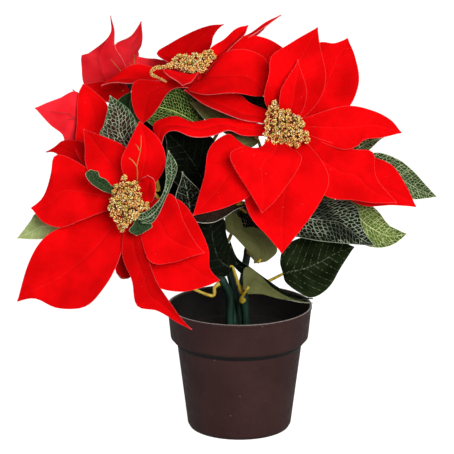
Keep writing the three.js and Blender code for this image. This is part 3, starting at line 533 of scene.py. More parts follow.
# A turned shape round an axis, from (radius, height) pairs; both ends lie on the axis.
def turnedPart(profile, centre, axis, sides=24, kind=0):
    axis = unit(axis)
    spare = np.array([1.0, 0, 0]) if abs(axis[0]) < 0.9 else np.array([0, 1.0, 0])
    side = unit(spare - axis * (spare @ axis))
    up = np.cross(axis, side)
    points = [np.asarray(centre) + axis * profile[0][1]]
    for radius, height in profile[1:-1]:
        points += ringPoints(centre + axis * height, radius, side, up, sides)
    points.append(centre + axis * profile[-1][1])
    last = len(points) - 1
    faces = ringFaces(len(profile) - 2, sides, 1)
    for column in range(sides):
        after = (column + 1) % sides
        faces.append((0, 1 + after, 1 + column))
        faces.append((last - sides + column, last - sides + after, last))
    return newPart(points, faces, kind)


# ---- petals and leaf blades
sheetMesh = {
    "rows": 34,
    "edgeSteps": 61,
    "half": (0, 0.03, 0.07, 0.14, 0.24, 0.36, 0.48, 0.6, 0.71, 0.81, 0.89, 0.95, 0.985, 1),
    "thick": 0.6,       # velvet or printed fabric with its backing
    "tipHalf": 0.45,
    "creaseDeep": 0.7,
    "creaseWide": 1.7,
    "softness": 0.55,   # slow waves of the fabric
    "curl": 0.5,
    "ripples": 1.6,
    "bulge": 1.6,       # how full a sheet stays past its belly
    "point": 1.4,       # and how drawn-out its tip is
    "phaseShift": 3.7,  # so that no two sheets have the same print
}


def middleOf(piece):
    return (np.atleast_2d(piece["left"]).mean(axis=0) + np.atleast_2d(piece["right"]).mean(axis=0)) / 2


# Each is given by its root, its tip and its left and right edges. An edge is the point where the
# sheet is widest, or a few points from root to tip where the outline is less regular.
# belly: where along the midrib it is widest; cup: how far the edges rise; neck: half width at the root.
def sheetShape(piece):
    root, tip = np.array(piece["root"], float), np.array(piece["tip"], float)
    left, right = np.atleast_2d(piece["left"]).astype(float), np.atleast_2d(piece["right"]).astype(float)
    belly = piece.get("belly", 0.55)
    cup = piece.get("cup", 4)
    phase = piece.get("phase", 0)
    middle = middleOf(piece)
    across = right.mean(axis=0) - left.mean(axis=0)
    wideSide = unit(across)
    halfWidth = np.linalg.norm(across) / 2
    facing = piece.get("facing")
    rootSide = wideSide if facing is None else unit(np.cross(middle - root, facing))
    neck = piece.get("neck", max(4, 0.3 * halfWidth))
    drawnEdges = len(left) > 1
    if drawnEdges:
        leftEdge = evenly(curveThrough([root - neck * rootSide, *left, tip]), sheetMesh["edgeSteps"])
        rightEdge = evenly(curveThrough([root + neck * rootSide, *right, tip]), sheetMesh["edgeSteps"])
        spans = rightEdge - leftEdge
        sides = unit(spans)
        sides[-1] = sides[-2]
        widths = np.maximum(np.linalg.norm(spans, axis=1) / 2, sheetMesh["tipHalf"])
        halfWidth = widths.max()
        centres = (leftEdge + rightEdge) / 2
        headings = unit(np.gradient(centres, axis=0))
        shares = np.linspace(0, 1, sheetMesh["edgeSteps"])
    else:
        bend = (middle - (1 - belly) ** 2 * root - belly ** 2 * tip) / (2 * belly * (1 - belly))

    def between(values, along):
        return np.stack([np.interp(along, shares, values[:, axis]) for axis in range(3)], axis=-1)

    def widthAt(along):
        if drawnEdges:
            return np.interp(along, shares, widths)
        reach = np.sin(math.pi / 2 * np.clip(along / belly, 0, 1)) ** 0.75
        past = np.clip((along - belly) / (1 - belly), 0, 1)
        drawn = halfWidth * (1 - past ** sheetMesh["bulge"]) ** sheetMesh["point"]
        drawn = np.maximum(drawn, sheetMesh["tipHalf"])
        return np.where(along < belly, neck + (halfWidth - neck) * reach, drawn)

    def midribAt(along):
        if drawnEdges:
            return between(centres, along), unit(between(headings, along)), between(sides, along)
        t = along[..., None]
        centre = (1 - t) ** 2 * root + 2 * t * (1 - t) * bend + t ** 2 * tip
        turned = np.minimum(along / belly, 1)[..., None]
        side = rootSide + (wideSide - rootSide) * (turned * turned * (3 - 2 * turned))
        ahead = unit((1 - t) * (bend - root) + t * (tip - bend))
        return centre, ahead, unit(side - ahead * (side * ahead).sum(-1, keepdims=True))

    # a crease along the midrib, slow waves towards the edges, and edges that curl back a little
    def relief(along, across, width):
        ends = np.minimum(1, 6 * along) * np.clip(4 * (1 - along), 0, 1)
        crease = sheetMesh["creaseDeep"] * np.exp(-(across * width / sheetMesh["creaseWide"]) ** 2)
        waves = np.sin(7 * along + 2.2 * across + phase) + 0.6 * np.sin(3 * across - 11 * along + 2 * phase)
        curl = sheetMesh["curl"] * np.abs(across) ** 8
        return ends * (sheetMesh["softness"] * waves * np.abs(across) - crease - curl)

    def surface(along, across, lift=0.0):
        along = np.asarray(along, float)
        across = np.asarray(across, float)
        centre, ahead, side = midribAt(along)
        front = unit(np.cross(side, ahead))
        width = widthAt(along)
        share = width / halfWidth * np.minimum(1, 3 * along)
        ripple = np.sin(2 * math.pi * (sheetMesh["ripples"] * along + 0.3 * across)) * np.abs(across)
        rise = (cup * (across ** 2 - drawnEdges) + ripple) * share + relief(along, across, width)
        offset = (across * width)[..., None] * side
        return centre + offset + front * (rise + lift)[..., None], front, width

    return surface


def sheetPart(piece, kinds=(0, 1, 2)):
    columnsOut = np.array(sheetMesh["half"])
    across = np.concatenate([-columnsOut[:0:-1], columnsOut])
    along = np.linspace(0, 1, sheetMesh["rows"] + 1)
    rows, columns = len(along), len(across)
    alongGrid, acrossGrid = np.meshgrid(along, across, indexing="ij")
    places, fronts, width = sheetShape(piece)(alongGrid, acrossGrid)
    lengths = travelled(places[:, columns // 2])
    lay = np.stack([acrossGrid * width, np.repeat(lengths[:, None], columns, 1), alongGrid], axis=-1)
    lay[..., 1] += sheetMesh["phaseShift"] * piece.get("phase", 0)
    toEdge = np.minimum((1 - np.abs(acrossGrid)) * width, lengths[-1] - lengths[:, None])
    half = sheetMesh["thick"] / 2
    points = np.concatenate([(places + fronts * side).reshape(-1, 3) for side in (half, -half)])
    perFace = rows * columns
    corner = np.arange(perFace).reshape(rows, columns)
    a, b = corner[:-1, :-1].ravel(), corner[:-1, 1:].ravel()
    c, d = corner[1:, 1:].ravel(), corner[1:, :-1].ravel()
    faces = np.stack([a, b, c, d], 1).tolist() + (np.stack([a, d, c, b], 1) + perFace).tolist()
    rim = []
    for line in (corner[::-1, 0], corner[0, :], corner[:, -1], corner[-1, ::-1]):
        rim += [(p, p + perFace, q + perFace, q) for p, q in zip(line[:-1].tolist(), line[1:].tolist())]
    marks = [kinds[0]] * len(a) + [kinds[1]] * len(a) + [kinds[2]] * len(rim)
    # a sheet's tone goes into its tint: painted shade on velvet, a fainter print on printed fabric
    tone = np.tile([piece.get("tone", 1.0)] * 3 + [1.0], (len(points), 1))
    return newPart(points, [tuple(face) for face in faces] + rim, marks,
                   np.tile(lay.reshape(-1, 3), (2, 1)), np.tile(toEdge.ravel(), 2), tone)


ribLook = {
    "foot": 0.02, "reach": 0.8, "thick": (0.95, 0.35), "sunk": 0.4, "sides": 7, "stepsEach": 6,
    "sideRibs": [(0.3, -0.5), (0.46, 0.5)],  # how far along each starts, and how far across it goes
    "sideThick": (0.55, 0.3), "sideLean": 0.28, "sideBow": 0.01,
}


# A rib bonded along the sheet through (along, across) pairs, on its back or its front.
def ribPart(piece, line, radii, kind, onFront):
    line = np.array(line, float)
    steps = np.linspace(0, len(line) - 1, ribLook["stepsEach"] * (len(line) - 1) + 1)
    along, across = (np.interp(steps, range(len(line)), line[:, column]) for column in (0, 1))
    thick = np.linspace(*radii, len(steps))
    lift = (sheetMesh["thick"] / 2 + ribLook["sunk"] * thick) * (1 if onFront else -1)
    path = sheetShape(piece)(along, across, lift)[0]
    return tubePart(path, thick, ribLook["sides"], kind)


def ribParts(piece, kind, reach=ribLook["reach"], thick=ribLook["thick"], onFront=False):
    side = piece.get("ribAcross", 0)
    reach = piece.get("ribReach", reach)
    middleLine = [(ribLook["foot"], 0), (reach / 2, side), (reach, 0.7 * side)]
    parts = [ribPart(piece, middleLine, piece.get("ribThick", thick), kind, onFront)]
    for start, across in piece.get("sideRibs", ribLook["sideRibs"]):
        finish = (start + ribLook["sideLean"] * abs(across), side + across)
        halfway = ((start + finish[0]) / 2 + ribLook["sideBow"], side + across / 2)
        parts.append(ribPart(piece, [(start, side), halfway, finish], ribLook["sideThick"], kind, onFront))
    return parts


# ---- flower heads
bract = {
    "hubRadius": 6.5, "hubThick": 2.4, "hubEdge": (0.6, 0.4), "hubSides": 28,
    "layerStep": 3.1, "stemGap": 1.5, "seatIn": 0.8,
    "phaseEach": 1.7, "phaseLayer": 0.9,  # so that neighbours wave differently
}


def petal(tip, left, right, **shape):
    return {"tip": tip, "left": left, "right": right, **shape}


flowers = {
    "right": {
        "hub": (36, -34, 259), "facing": (0.05, -0.93, 0.36), "stemRadius": 3, "stemFoot": (6, -4),
        "stemThrough": [(4, -4, 134), (20, -3, 200)], "beadHeight": 14,
        "beads": [(-9, 19, 0.75), (-12, 15), (-7, 14), (-14, 10), (-9, 9), (-4, 11), (1, 11, 0.9), (-15, 4),
                  (-10, 3), (-4, 6), (1, 5), (8, 6), (-15, -1, 0.9), (-9, -3), (-4, 0), (2, -1), (7, 0),
                  (12, 1, 0.9), (-16, -6), (-11, -8), (-6, -7), (-1, -6), (5, -6), (10, -5), (15, -6, 0.9),
                  (-15, -12, 0.9), (-10, -13), (-5, -12), (0, -12), (5, -11), (11, -10), (16, -11),
                  (-12, -17, 0.8), (8, -15, 0.85), (2, -15, 0.7)],
    },
    "top": {
        "hub": (-36, 5, 289), "facing": (-0.05, -0.3, 0.95), "stemRadius": 3, "stemFoot": (2, 3.5),
        "stemThrough": [(-9, 4, 134), (-19, 9, 190)],
        "beadPlaces": [(-49, 2, 311), (-44, 2, 311), (-40, 0, 310), (-52, -2, 309), (-46, -4, 308),
                       (-42, -6, 308), (-55, -8, 306), (-50, -10, 306), (-45, -11, 305), (-40, -11, 304),
                       (-36, 2, 312), (-36, -5, 308), (-32, 2, 311), (-32, -4, 308), (-35, -10, 305),
                       (-30, -8, 304), (-28, 5, 313), (-24, 5, 314), (-22, 3, 311), (-27, 0, 310),
                       (-27, -3, 306), (-38, -12, 302, 0.7), (-32, -12, 302, 0.7), (-24, 0, 308, 0.7)],
        "tail": [(-58, -10, 306), (-60, -11, 305), (-64, -12, 305), (-67, -13, 305), (-69, -14, 304),
                 (-71, -16, 302), (-70, -18, 300), (-67, -20, 299), (-64, -22, 298), (-61, -24, 297),
                 (-59, -25, 296)],
    },
    "left": {
        "hub": (-86, -60, 205), "facing": (-0.2, -0.9, 0.36), "stemRadius": 3, "stemFoot": (-7.5, -5.5),
        "stemThrough": [(-13, -8, 125), (-62, -27, 178)], "beadHeight": 20,
        "beads": [(-2, 17, 0.75), (-8, 10, 0.8), (-3, 11), (2, 12), (7, 13, 0.8), (10, 10, 0.8),
                  (-9, 6, 0.7), (-3, 5), (2, 7), (7, 6), (11, 4, 0.9), (-6, 1, 0.8), (-1, 1), (5, 1),
                  (10, 1), (13, -2, 0.9), (4, -4), (9, -4), (13, -7, 0.8), (-9, -2), (-10, -7), (-4, -5),
                  (-8, -12), (-4, -10), (1, -7, 0.9), (3, -12), (7, -10), (11, -11, 0.8), (-5, -16),
                  (0, -17), (5, -16), (9, -14, 0.8), (-2, -21), (2, -20, 0.8), (-1, -24, 0.55),
                  (17, -5, 0.8), (18, -2, 0.5)],
    },
    "rear": {
        "hub": (-94, 58, 278), "facing": (-0.2, 0.6, 0.75), "stemRadius": 2.6, "stemFoot": (-4.5, 7.5),
        "stemThrough": [(-9, 12, 130), (-58, 36, 210)], "tanRibs": True, "beadHeight": 11,
        "beads": [(0, 0), (6, 3), (-5, 5), (1, 8), (-6, -4), (5, -6), (-1, -9), (10, -2), (-10, 1), (4, 11),
                  (-4, 11)],
    },
    "far": {
        "hub": (-119, 10, 247), "facing": (-0.75, 0.2, 0.6), "stemRadius": 2.6, "stemFoot": (-9.5, 1.5),
        "stemThrough": [(-16, 2.5, 125), (-72, 5, 198)], "beadHeight": 11,
        "beads": [(0, 0), (7, 3), (-6, 5), (1, 9), (-7, -4), (6, -7), (-1, -10), (12, -2), (-12, 1),
                  (5, 12), (-5, 12), (10, 8)],
    },
}
# tone below 1 is painted shade on a velvet petal turned from the light, and a fainter print on the green
# printed sheets
flowers["right"]["sheets"] = {
    "outer": [
        petal((87, 8, 325), [(45, -24, 281), (51, -10, 309), (63, -1, 323), (76, 3, 322)],
              [(58, -28, 263), (84, -22, 271), (95, -14, 291), (93, -3, 311)]),
        petal((141, -40, 197), [(76, -36, 249), (104, -35, 238), (122, -35, 230), (133, -38, 214)],
              [(72, -43, 216), (96, -46, 200), (122, -43, 199)]),
        petal((-63, -34, 245),
              [(18, -36, 254), (2, -39, 255), (-9, -41, 260), (-22, -43, 257), (-38, -42, 256),
               (-51, -39, 259), (-59, -37, 256)],
              [(19, -33, 263), (1, -30, 266), (-20, -27, 267), (-38, -25, 263), (-51, -25, 268),
               (-65, -29, 266), (-70, -30, 260)],
              cup=0, neck=5),
        petal((-45, -8, 286), [(18, -36, 265), (-2, -39, 269), (-21, -32, 276), (-33, -21, 280)],
              [(22, -25, 273), (8, -16, 278), (0, -10, 282), (-22, -7, 285)], neck=6),
        petal((21, -46, 182), (42, -40, 212), (8, -38, 212)),
    ],
    "middle": [
        petal((62, -10, 337),
              [(24, -35, 273), (19, -35, 286), (23, -34, 304), (25, -32, 318), (40, -23, 327)],
              [(49, -35, 267), (63, -36, 283), (68, -34, 301), (64, -21, 322)]),
        petal((128, -42, 258), [(55, -40, 271), (83, -43, 280), (104, -44, 277), (119, -43, 269)],
              [(54, -42, 255), (79, -52, 247), (92, -52, 249), (99, -53, 255), (114, -49, 256)]),
        petal((124, -58, 205), [(63, -45, 254), (89, -51, 247), (105, -54, 245), (108, -57, 225)],
              [(44, -47, 237), (62, -57, 215), (73, -61, 209), (89, -62, 208), (106, -60, 205)]),
        petal((33, -76, 168),
              [(51, -42, 252), (65, -57, 238), (70, -64, 223), (62, -69, 206), (50, -72, 189)],
              [(18, -45, 246), (4, -58, 231), (3, -65, 212), (9, -69, 195), (22, -73, 181)]),
        petal((-37, -72, 198), [(19, -62, 231), (8, -74, 215), (-9, -74, 206), (-24, -73, 201)],
              [(18, -45, 248), (6, -48, 249), (-1, -51, 254), (-10, -55, 260), (-24, -61, 250),
               (-28, -66, 229), (-33, -69, 212)]),
    ],
    "inner": [
        petal((17, -84, 203), [(40, -61, 250), (48, -73, 242), (30, -81, 215)],
              [(17, -60, 252), (0, -73, 253), (-8, -76, 245), (8, -81, 218)], neck=10),
        petal((46, -32, 315), (32, -42, 291), (53, -44, 289)),
    ],
}
flowers["top"]["sheets"] = {
    "outer": [
        petal((-13, 52, 329),
              [(-53, 21, 300), (-68, 31, 308), (-57, 36, 316), (-38, 43, 325), (-24, 48, 329)],
              [(-28, 38, 302), (-23, 44, 314), (-22, 46, 319), (-18, 49, 325)], cup=0, tone=0.7),
        petal((-112, 5, 287), [(-57, -7, 292), (-71, -11, 293), (-86, -9, 293), (-99, -3, 292)],
              [(-54, 12, 299), (-66, 16, 299), (-82, 19, 301), (-93, 16, 299), (-101, 11, 295)], neck=6),
        petal((34, 45, 338), [(-27, 20, 304), (-9, 38, 318), (10, 42, 325), (23, 43, 333)],
              [(-20, 14, 301), (-3, 23, 315), (12, 31, 325), (23, 38, 332)]),
        petal((44, 20, 308), [(-20, 14, 308), (-6, 22, 319), (8, 30, 324), (25, 26, 321)],
              [(-12, -1, 299), (18, -9, 298), (37, 5, 296)]),
        petal((-77, -44, 266), [(-47, -13, 289), (-57, -34, 289), (-65, -46, 279), (-71, -45, 271)],
              [(-56, -13, 294), (-72, -26, 298), (-84, -34, 297), (-86, -38, 285), (-83, -41, 273)],
              tone=0.76),
    ],
    "middle": [
        petal((23, -18, 283), [(-14, -3, 313), (4, -4, 318), (20, -9, 313), (25, -13, 300)],
              [(-42, -11, 287), (-26, -31, 287), (-4, -33, 288), (12, -24, 284)]),
    ],
    "inner": [
        petal((-45, -42, 296), [(-33, -19, 302), (-39, -32, 298)],
              [(-47, -14, 302), (-61, -25, 304), (-51, -35, 300)], cup=2, neck=4),
        petal((7, 30, 332), [(-30, 7, 308), (-22, 12, 318), (-13, 18, 324), (-3, 24, 330)],
              [(-18, 1, 309), (-5, 6, 320), (4, 19, 327)]),
    ],
}
flowers["left"]["sheets"] = {
    "outer": [
        petal((-126, -4, 290), [(-115, -43, 220), (-131, -28, 239), (-131, -18, 259), (-130, -8, 282)],
              [(-95, -45, 227), (-105, -27, 249), (-104, -17, 265), (-107, -13, 276), (-116, -8, 284)]),
        petal((-156, -18, 237), [(-111, -51, 209), (-132, -39, 225), (-147, -25, 237)],
              [(-103, -45, 228), (-124, -28, 246), (-141, -23, 248), (-149, -21, 242)], tone=0.66),
        petal((-16, -80, 147),
              [(-71, -66, 209), (-49, -71, 211), (-35, -75, 195), (-25, -78, 173), (-24, -79, 157)],
              [(-79, -76, 173), (-69, -87, 147), (-48, -88, 140), (-28, -84, 143)]),
        petal((-94, -80, 149), [(-80, -65, 180), (-82, -72, 162), (-87, -74, 148)],
              [(-94, -61, 185), (-98, -66, 172), (-99, -71, 155)]),
    ],
    "middle": [
        petal((-124, -42, 261), [(-112, -60, 220), (-122, -56, 235), (-123, -49, 249)],
              [(-87, -60, 224), (-87, -57, 243), (-93, -54, 251), (-109, -49, 257)]),
        petal((-166, -52, 199),
              [(-105, -65, 200), (-126, -69, 193), (-142, -67, 187), (-155, -61, 189), (-162, -56, 195)],
              [(-107, -58, 223), (-131, -52, 238), (-146, -48, 241), (-150, -50, 227), (-157, -51, 208)]),
        petal((-177, -70, 127),
              [(-90, -74, 182), (-97, -85, 161), (-106, -93, 146), (-122, -91, 129), (-144, -83, 125),
               (-162, -76, 131)],
              [(-106, -55, 201), (-138, -58, 187), (-156, -64, 177), (-168, -69, 158)]),
        petal((-38, -88, 109),
              [(-79, -74, 191), (-74, -86, 174), (-66, -96, 152), (-57, -93, 136), (-47, -90, 120)],
              [(-91, -72, 190), (-93, -84, 169), (-85, -94, 151), (-81, -95, 131), (-65, -93, 126),
               (-49, -90, 115)],
              tone=0.8),
        petal((-28, -88, 172), [(-71, -71, 208), (-53, -80, 217), (-44, -86, 197), (-35, -87, 180)],
              [(-79, -81, 184), (-70, -94, 166), (-53, -92, 165), (-39, -90, 169)]),
    ],
    "inner": [
        petal((-79, -60, 271), [(-91, -69, 228), (-93, -72, 243), (-88, -68, 255), (-83, -64, 264)],
              [(-67, -72, 223), (-58, -78, 242), (-62, -71, 257), (-71, -65, 266)],
              ribFront=True, ribAcross=-0.3, ribThick=(0.6, 0.3), sideRibs=[(0.4, -0.4), (0.62, -0.25)]),
    ],
    "green": [
        petal((-56, -74, 251), [(-70, -90, 208), (-61, -95, 220), (-58, -91, 231), (-58, -83, 241)],
              [(-68, -90, 197), (-60, -96, 213), (-53, -94, 228), (-49, -84, 241)], root=(-79.5, -85, 198)),
        petal((-81, -89, 186), [(-69, -87, 195), (-74, -88, 189)],
              [(-83, -84, 196), (-87, -88, 190)], cup=2, tone=0.15),
        petal((-117, -72, 235), [(-101, -72, 215), (-109, -78, 220), (-117, -78, 226), (-121, -75, 232)],
              [(-99, -72, 221), (-105, -76, 228), (-110, -75, 230), (-111, -74, 234)], cup=2, tone=0.15),
    ],
    "core": [
        petal((-72, -88, 234), [(-81, -79, 222), (-78, -84, 230)],
              [(-70, -83, 211), (-66, -88, 221), (-67, -88, 230)], neck=3, cup=2),
    ],
}
flowers["rear"]["sheets"] = {
    "outer": [
        petal((-105, 30, 340), [(-90, 47, 288), (-97, 37, 304), (-102, 34, 315), (-102, 32, 328)],
              [(-113, 56, 275), (-128, 57, 277), (-130, 54, 294), (-130, 52, 304), (-124, 49, 306),
               (-106, 38, 323)],
              neck=14, cup=3, ribAcross=-0.75, ribReach=0.42, ribThick=(0.5, 0.25), sideRibs=[]),
        petal((-80, 25, 336), [(-85, 54, 287), (-84, 55, 302), (-81, 44, 314), (-80, 34, 326)],
              [(-100, 47, 290), (-102, 37, 309), (-101, 35, 315), (-89, 29, 324)],
              cup=3, ribAcross=-0.6, ribReach=0.4, ribThick=(0.75, 0.45), sideRibs=[(0.12, 0.6)]),
        petal((-44, 56, 290), [(-80, 58, 274), (-62, 57, 275), (-48, 56, 280)],
              [(-90, 56, 290), (-87, 56, 301), (-76, 56, 300), (-66, 56, 299), (-54, 56, 296)], cup=0),
        petal((-128, 35, 282), [(-88, 45, 270), (-97, 42, 266), (-109, 40, 266), (-119, 38, 273)],
              [(-101, 48, 282), (-112, 44, 283), (-121, 38, 283)]),
        petal((-68, 120, 274), (-84, 94, 272), (-58, 84, 284), belly=0.5),
        petal((-119, 120, 287), (-127, 100, 277), (-93, 105, 289), belly=0.5),
    ],
    "middle": [
        petal((-60, 76, 292), (-75, 78, 286), (-73, 66, 293), belly=0.5),
        petal((-92, 102, 296), (-103, 82, 291), (-83, 80, 296), belly=0.5),
        petal((-127, 98, 292), (-121, 72, 292), (-105, 86, 288), belly=0.5),
    ],
}
flowers["far"]["sheets"] = {
    "outer": [
        petal((-165, -8, 271), [(-123, -1, 270), (-132, -4, 284), (-145, -6, 279), (-156, -7, 275)],
              [(-125, -2, 237), (-140, -10, 240), (-143, -12, 250), (-153, -11, 258)]),
        petal((-138, -5, 226), (-124, -8, 236), (-130, 4, 240), belly=0.5),
        petal((-136, 18, 281), (-122, 13, 271), (-128, 1, 267), belly=0.5, cup=2),
        petal((-130, 100, 236), (-134, 60, 231), (-118, 64, 249), belly=0.5),
    ],
    "middle": [
        petal((-136, 66, 264), (-135, 43, 254), (-125, 41, 266), belly=0.5),
        petal((-138, 50, 224), (-142, 26, 229), (-130, 38, 241), belly=0.5),
    ],
}


def hubProfile():
    radius, half = bract["hubRadius"], bract["hubThick"] / 2
    inward, rise = bract["hubEdge"]
    return [(0, -half), (radius - inward, -half), (radius, -half + rise), (radius, half - rise),
            (radius - inward, half), (0, half)]


def makeBractSheets(name, flower):
    facing = unit(flower["facing"])
    for layer, (layerName, petals) in enumerate(flower["sheets"].items()):
        centre = np.array(flower["hub"], float) + facing * layer * bract["layerStep"]
        printed = layerName == "green"
        parts = [turnedPart(hubProfile(), centre, facing, bract["hubSides"])]
        for number, shape in enumerate(petals):
            outward = middleOf(shape) - centre
            outward = unit(outward - facing * (outward @ facing))
            seat = centre + outward * (bract["hubRadius"] - bract["seatIn"])
            phase = bract["phaseEach"] * number + bract["phaseLayer"] * layer
            shaped = {"root": seat, **shape, "facing": facing, "phase": phase}
            parts.append(sheetPart(shaped))
            if not printed:
                parts += ribParts(shaped, 3, onFront=shape.get("ribFront", False))
        if printed:
            finishes = [leafPrints["forest"], oliveBack, leafCut, stalkYellow]
        else:
            tan = flower.get("tanRibs") or layerName == "inner"
            finishes = [velvetFront, velvetBack, velvetCut, bractRib if tan else redRib]
        makePiece(f"{name}Flower_{layerName}Petals", f"{name}_{layerName}_bracts",
                  parts, finishes)


for name, flower in flowers.items():
    makeBractSheets(name, flower)
print("petals made")


# ---- beaded centres
bead = {
    "rosetteRadius": 2.8,
    "coreShare": 0.62,   # the round core, as a share of the rosette
    "grainsFrom": 0.45,  # and how far out the grains start
    "wire": 0.8,
    "grainsEach": 22,
    "tailGrainsEach": 14,
    "onCushion": 240,
    "grainSides": 6,
    "grainRadius": (0.48, 0.74),
    "grainLong": (1.2, 2.3),
    "grainRings": [(0.6, 0.0, 0.2), (1.0, 0.45, 0.8), (0.85, 0.8, 1.05)],  # width, height, brightness: dim at the foot as painted shade between the grains
    "tipHighlight": 1.15,
    # a colour, and the share of the grains up to it
    "tints": [((1.0, 0.68, 0.20), 0.40), ((0.88, 0.40, 0.07), 0.66), ((0.62, 0.14, 0.02), 0.82),
              ((0.36, 0.38, 0.05), 0.92), ((1.0, 0.90, 0.58), 1.0)],
    "cushionSpread": {"right": 13, "top": 10, "left": 12, "rear": 9, "far": 9},
    "cushionHeight": {"right": 7, "top": 8, "left": 5, "rear": 5, "far": 5},
    "dome": {"right": 6, "left": 3, "rear": 3, "far": 3},
    "domeWide": 20,
    "unevenHeight": 1.2,
    "sizeVaries": (0.92, 1.1),
    "overSheets": 0.15,  # from the last sheet's hub to the foot of the peg
    "pegRadius": 3.6,
    "cushionFrom": 5,    # height on the peg where the cushion spreads
    "cushionSides": 26,
    "tailFrom": 6,       # the rosette that the loose tail hangs from
    "tailCount": 24,
    "tailWire": (0.9, 0.4),
    "tailRadius": (1.9, 0.8),
    "tailFacing": (-0.2, -0.6, 0.75),
}
goldenTurn = math.pi * (3 - math.sqrt(5))


def roundBead(subdivisions):
    shape = bmesh.new()
    bmesh.ops.create_icosphere(shape, subdivisions=subdivisions, radius=1.0)
    points = np.array([vertex.co[:] for vertex in shape.verts])
    faces = [tuple(vertex.index for vertex in face.verts) for face in shape.faces]
    shape.free()
    return points, faces


def pickTint(draw):
    chance = draw.random()
    tint = next(tint for tint, limit in bead["tints"] if chance <= limit)
    return np.array(tint) * draw.uniform(0.8, 1.12)


def anyDirection(draw):
    return unit([draw.gauss(0, 1), draw.gauss(0, 1), draw.gauss(0, 1)])


# Small grains, each drawn out along its direction, brown and dark at the foot as painted shade between the
# grains, pale at the tip as a painted highlight.
def grainsPart(spots, directions, reach, draw):
    sides, rings = bead["grainSides"], len(bead["grainRings"])
    points, faces, tints = [], [], []
    for spot, direction in zip(spots, directions):
        radius = draw.uniform(*bead["grainRadius"]) * reach
        long = draw.uniform(*bead["grainLong"]) * reach
        tint = pickTint(draw)
        side = unit(np.cross(direction, (0.3, 0.5, 0.81)))
        up = np.cross(direction, side)
        first = len(points)
        for width, height, bright in bead["grainRings"]:
            points += ringPoints(spot + direction * long * height, radius * width, side, up, sides)
            tints += [tint * bright] * sides
        points.append(spot + direction * long)
        tints.append(tint * bead["tipHighlight"])
        tip = len(points) - 1
        faces.append(tuple(reversed(range(first, first + sides))))
        faces += ringFaces(rings, sides, first)
        last = tip - sides
        faces += [(last + column, last + (column + 1) % sides, tip) for column in range(sides)]
    colours = np.column_stack([np.clip(tints, 0, 1), np.ones(len(tints))])
    return newPart(points, faces, 0, tint=colours)


# A tuft of grains on a round core, spread evenly over the side that faces out.
def rosetteParts(centre, outward, size, draw, count=bead["grainsEach"]):
    core = newPart(beadPoints * (size * bead["coreShare"]) + centre, beadFaces, 1)
    side = unit(np.cross(outward, (0.2, 0.7, 0.68)))
    other = np.cross(outward, side)
    turn = draw.uniform(0, 2 * math.pi)
    directions = []
    for number in range(count):
        height = 1 - 1.5 * (number + 0.5) / count
        ring = math.sqrt(1 - height * height)
        angle = turn + goldenTurn * number
        direction = outward * height + ring * (math.cos(angle) * side + math.sin(angle) * other)
        directions.append(unit(direction + 0.2 * anyDirection(draw)))
    spots = [centre + direction * size * bead["grainsFrom"] for direction in directions]
    return [core, grainsPart(spots, directions, min(1, size / 2.2), draw)]


# Loose grains over the cushion between the rosettes.
def cushionGrains(cushion, axis, draw):
    upper = [point for point in cushion["points"] if (point - cushion["points"][0]) @ axis > 3]
    middle = np.mean(upper, axis=0)
    spots, directions = [], []
    for number in range(bead["onCushion"]):
        one, other = draw.choice(upper), draw.choice(upper)
        spot = one + (other - one) * draw.random() * 0.4
        direction = unit(unit(spot - middle + axis * 3) + 0.5 * anyDirection(draw))
        spots.append(spot + direction * draw.uniform(-0.2, 1.0))
        directions.append(direction)
    return grainsPart(spots, directions, 1, draw)


# The peg and the cushion that the rosettes are pressed on.
def cushionProfile(spread, height):
    peg, start = bead["pegRadius"], bead["cushionFrom"]
    profile = [(0, 0), (peg - 0.2, 0), (peg, 0.4), (peg, start - 0.5)]
    profile += [(peg + (spread - peg) * math.sin(a), start + (height - start) * (1 - math.cos(a)) * 0.5)
                for a in np.linspace(0.2, math.pi / 2, 5)]
    profile += [(spread * math.cos(a), height * 0.6 + height * 0.4 * math.sin(a))
                for a in np.linspace(0.2, 1.45, 6)]
    return profile + [(0, height)]


def makeBeadedCentre(name, flower, seed):
    draw = random.Random(seed)
    facing = unit(flower["facing"])
    rightward = unit(np.cross((0, 0, 1), facing))
    upward = np.cross(facing, rightward)
    hub = np.array(flower["hub"], float)
    base = hub + facing * ((len(flower["sheets"]) - 0.5) * bract["layerStep"] + bead["overSheets"])
    height = bead["cushionHeight"][name]
    profile = cushionProfile(bead["cushionSpread"][name], height)
    cushion = turnedPart(profile, base, facing, bead["cushionSides"], 1)
    parts = [cushion, cushionGrains(cushion, facing, draw)]
    spots = []
    for x, y, *scale in flower.get("beads", []):
        dome = bead["dome"][name] * (1 - (x * x + y * y) / bead["domeWide"] ** 2)
        lift = flower["beadHeight"] + dome + draw.uniform(-bead["unevenHeight"], bead["unevenHeight"])
        spots.append((hub + facing * lift + rightward * x + upward * y, scale))
    for x, y, z, *scale in flower.get("beadPlaces", []):
        spots.append((np.array((x, y, z), float), scale))
    for spot, scale in spots:
        size = bead["rosetteRadius"] * draw.uniform(*bead["sizeVaries"]) * (scale[0] if scale else 1)
        parts += rosetteParts(spot, unit(spot - base + 4 * facing), size, draw)
        middle = base + facing * height * 0.5
        parts.append(tubePart([middle, (middle + spot) / 2, spot], bead["wire"], 6, 1))
    if "tail" in flower:
        tail = evenly(curveThrough([spots[bead["tailFrom"]][0], *flower["tail"]]), bead["tailCount"])
        for spot, size in zip(tail, np.linspace(*bead["tailRadius"], len(tail))):
            parts += rosetteParts(spot, unit(bead["tailFacing"]), size, draw, bead["tailGrainsEach"])
        parts.append(tubePart(tail, np.linspace(*bead["tailWire"], len(tail)), 7, 1))
    makePiece(f"{name}Flower_beads", f"{name}_stamens", parts, [beadPaint, beadCore], 80)


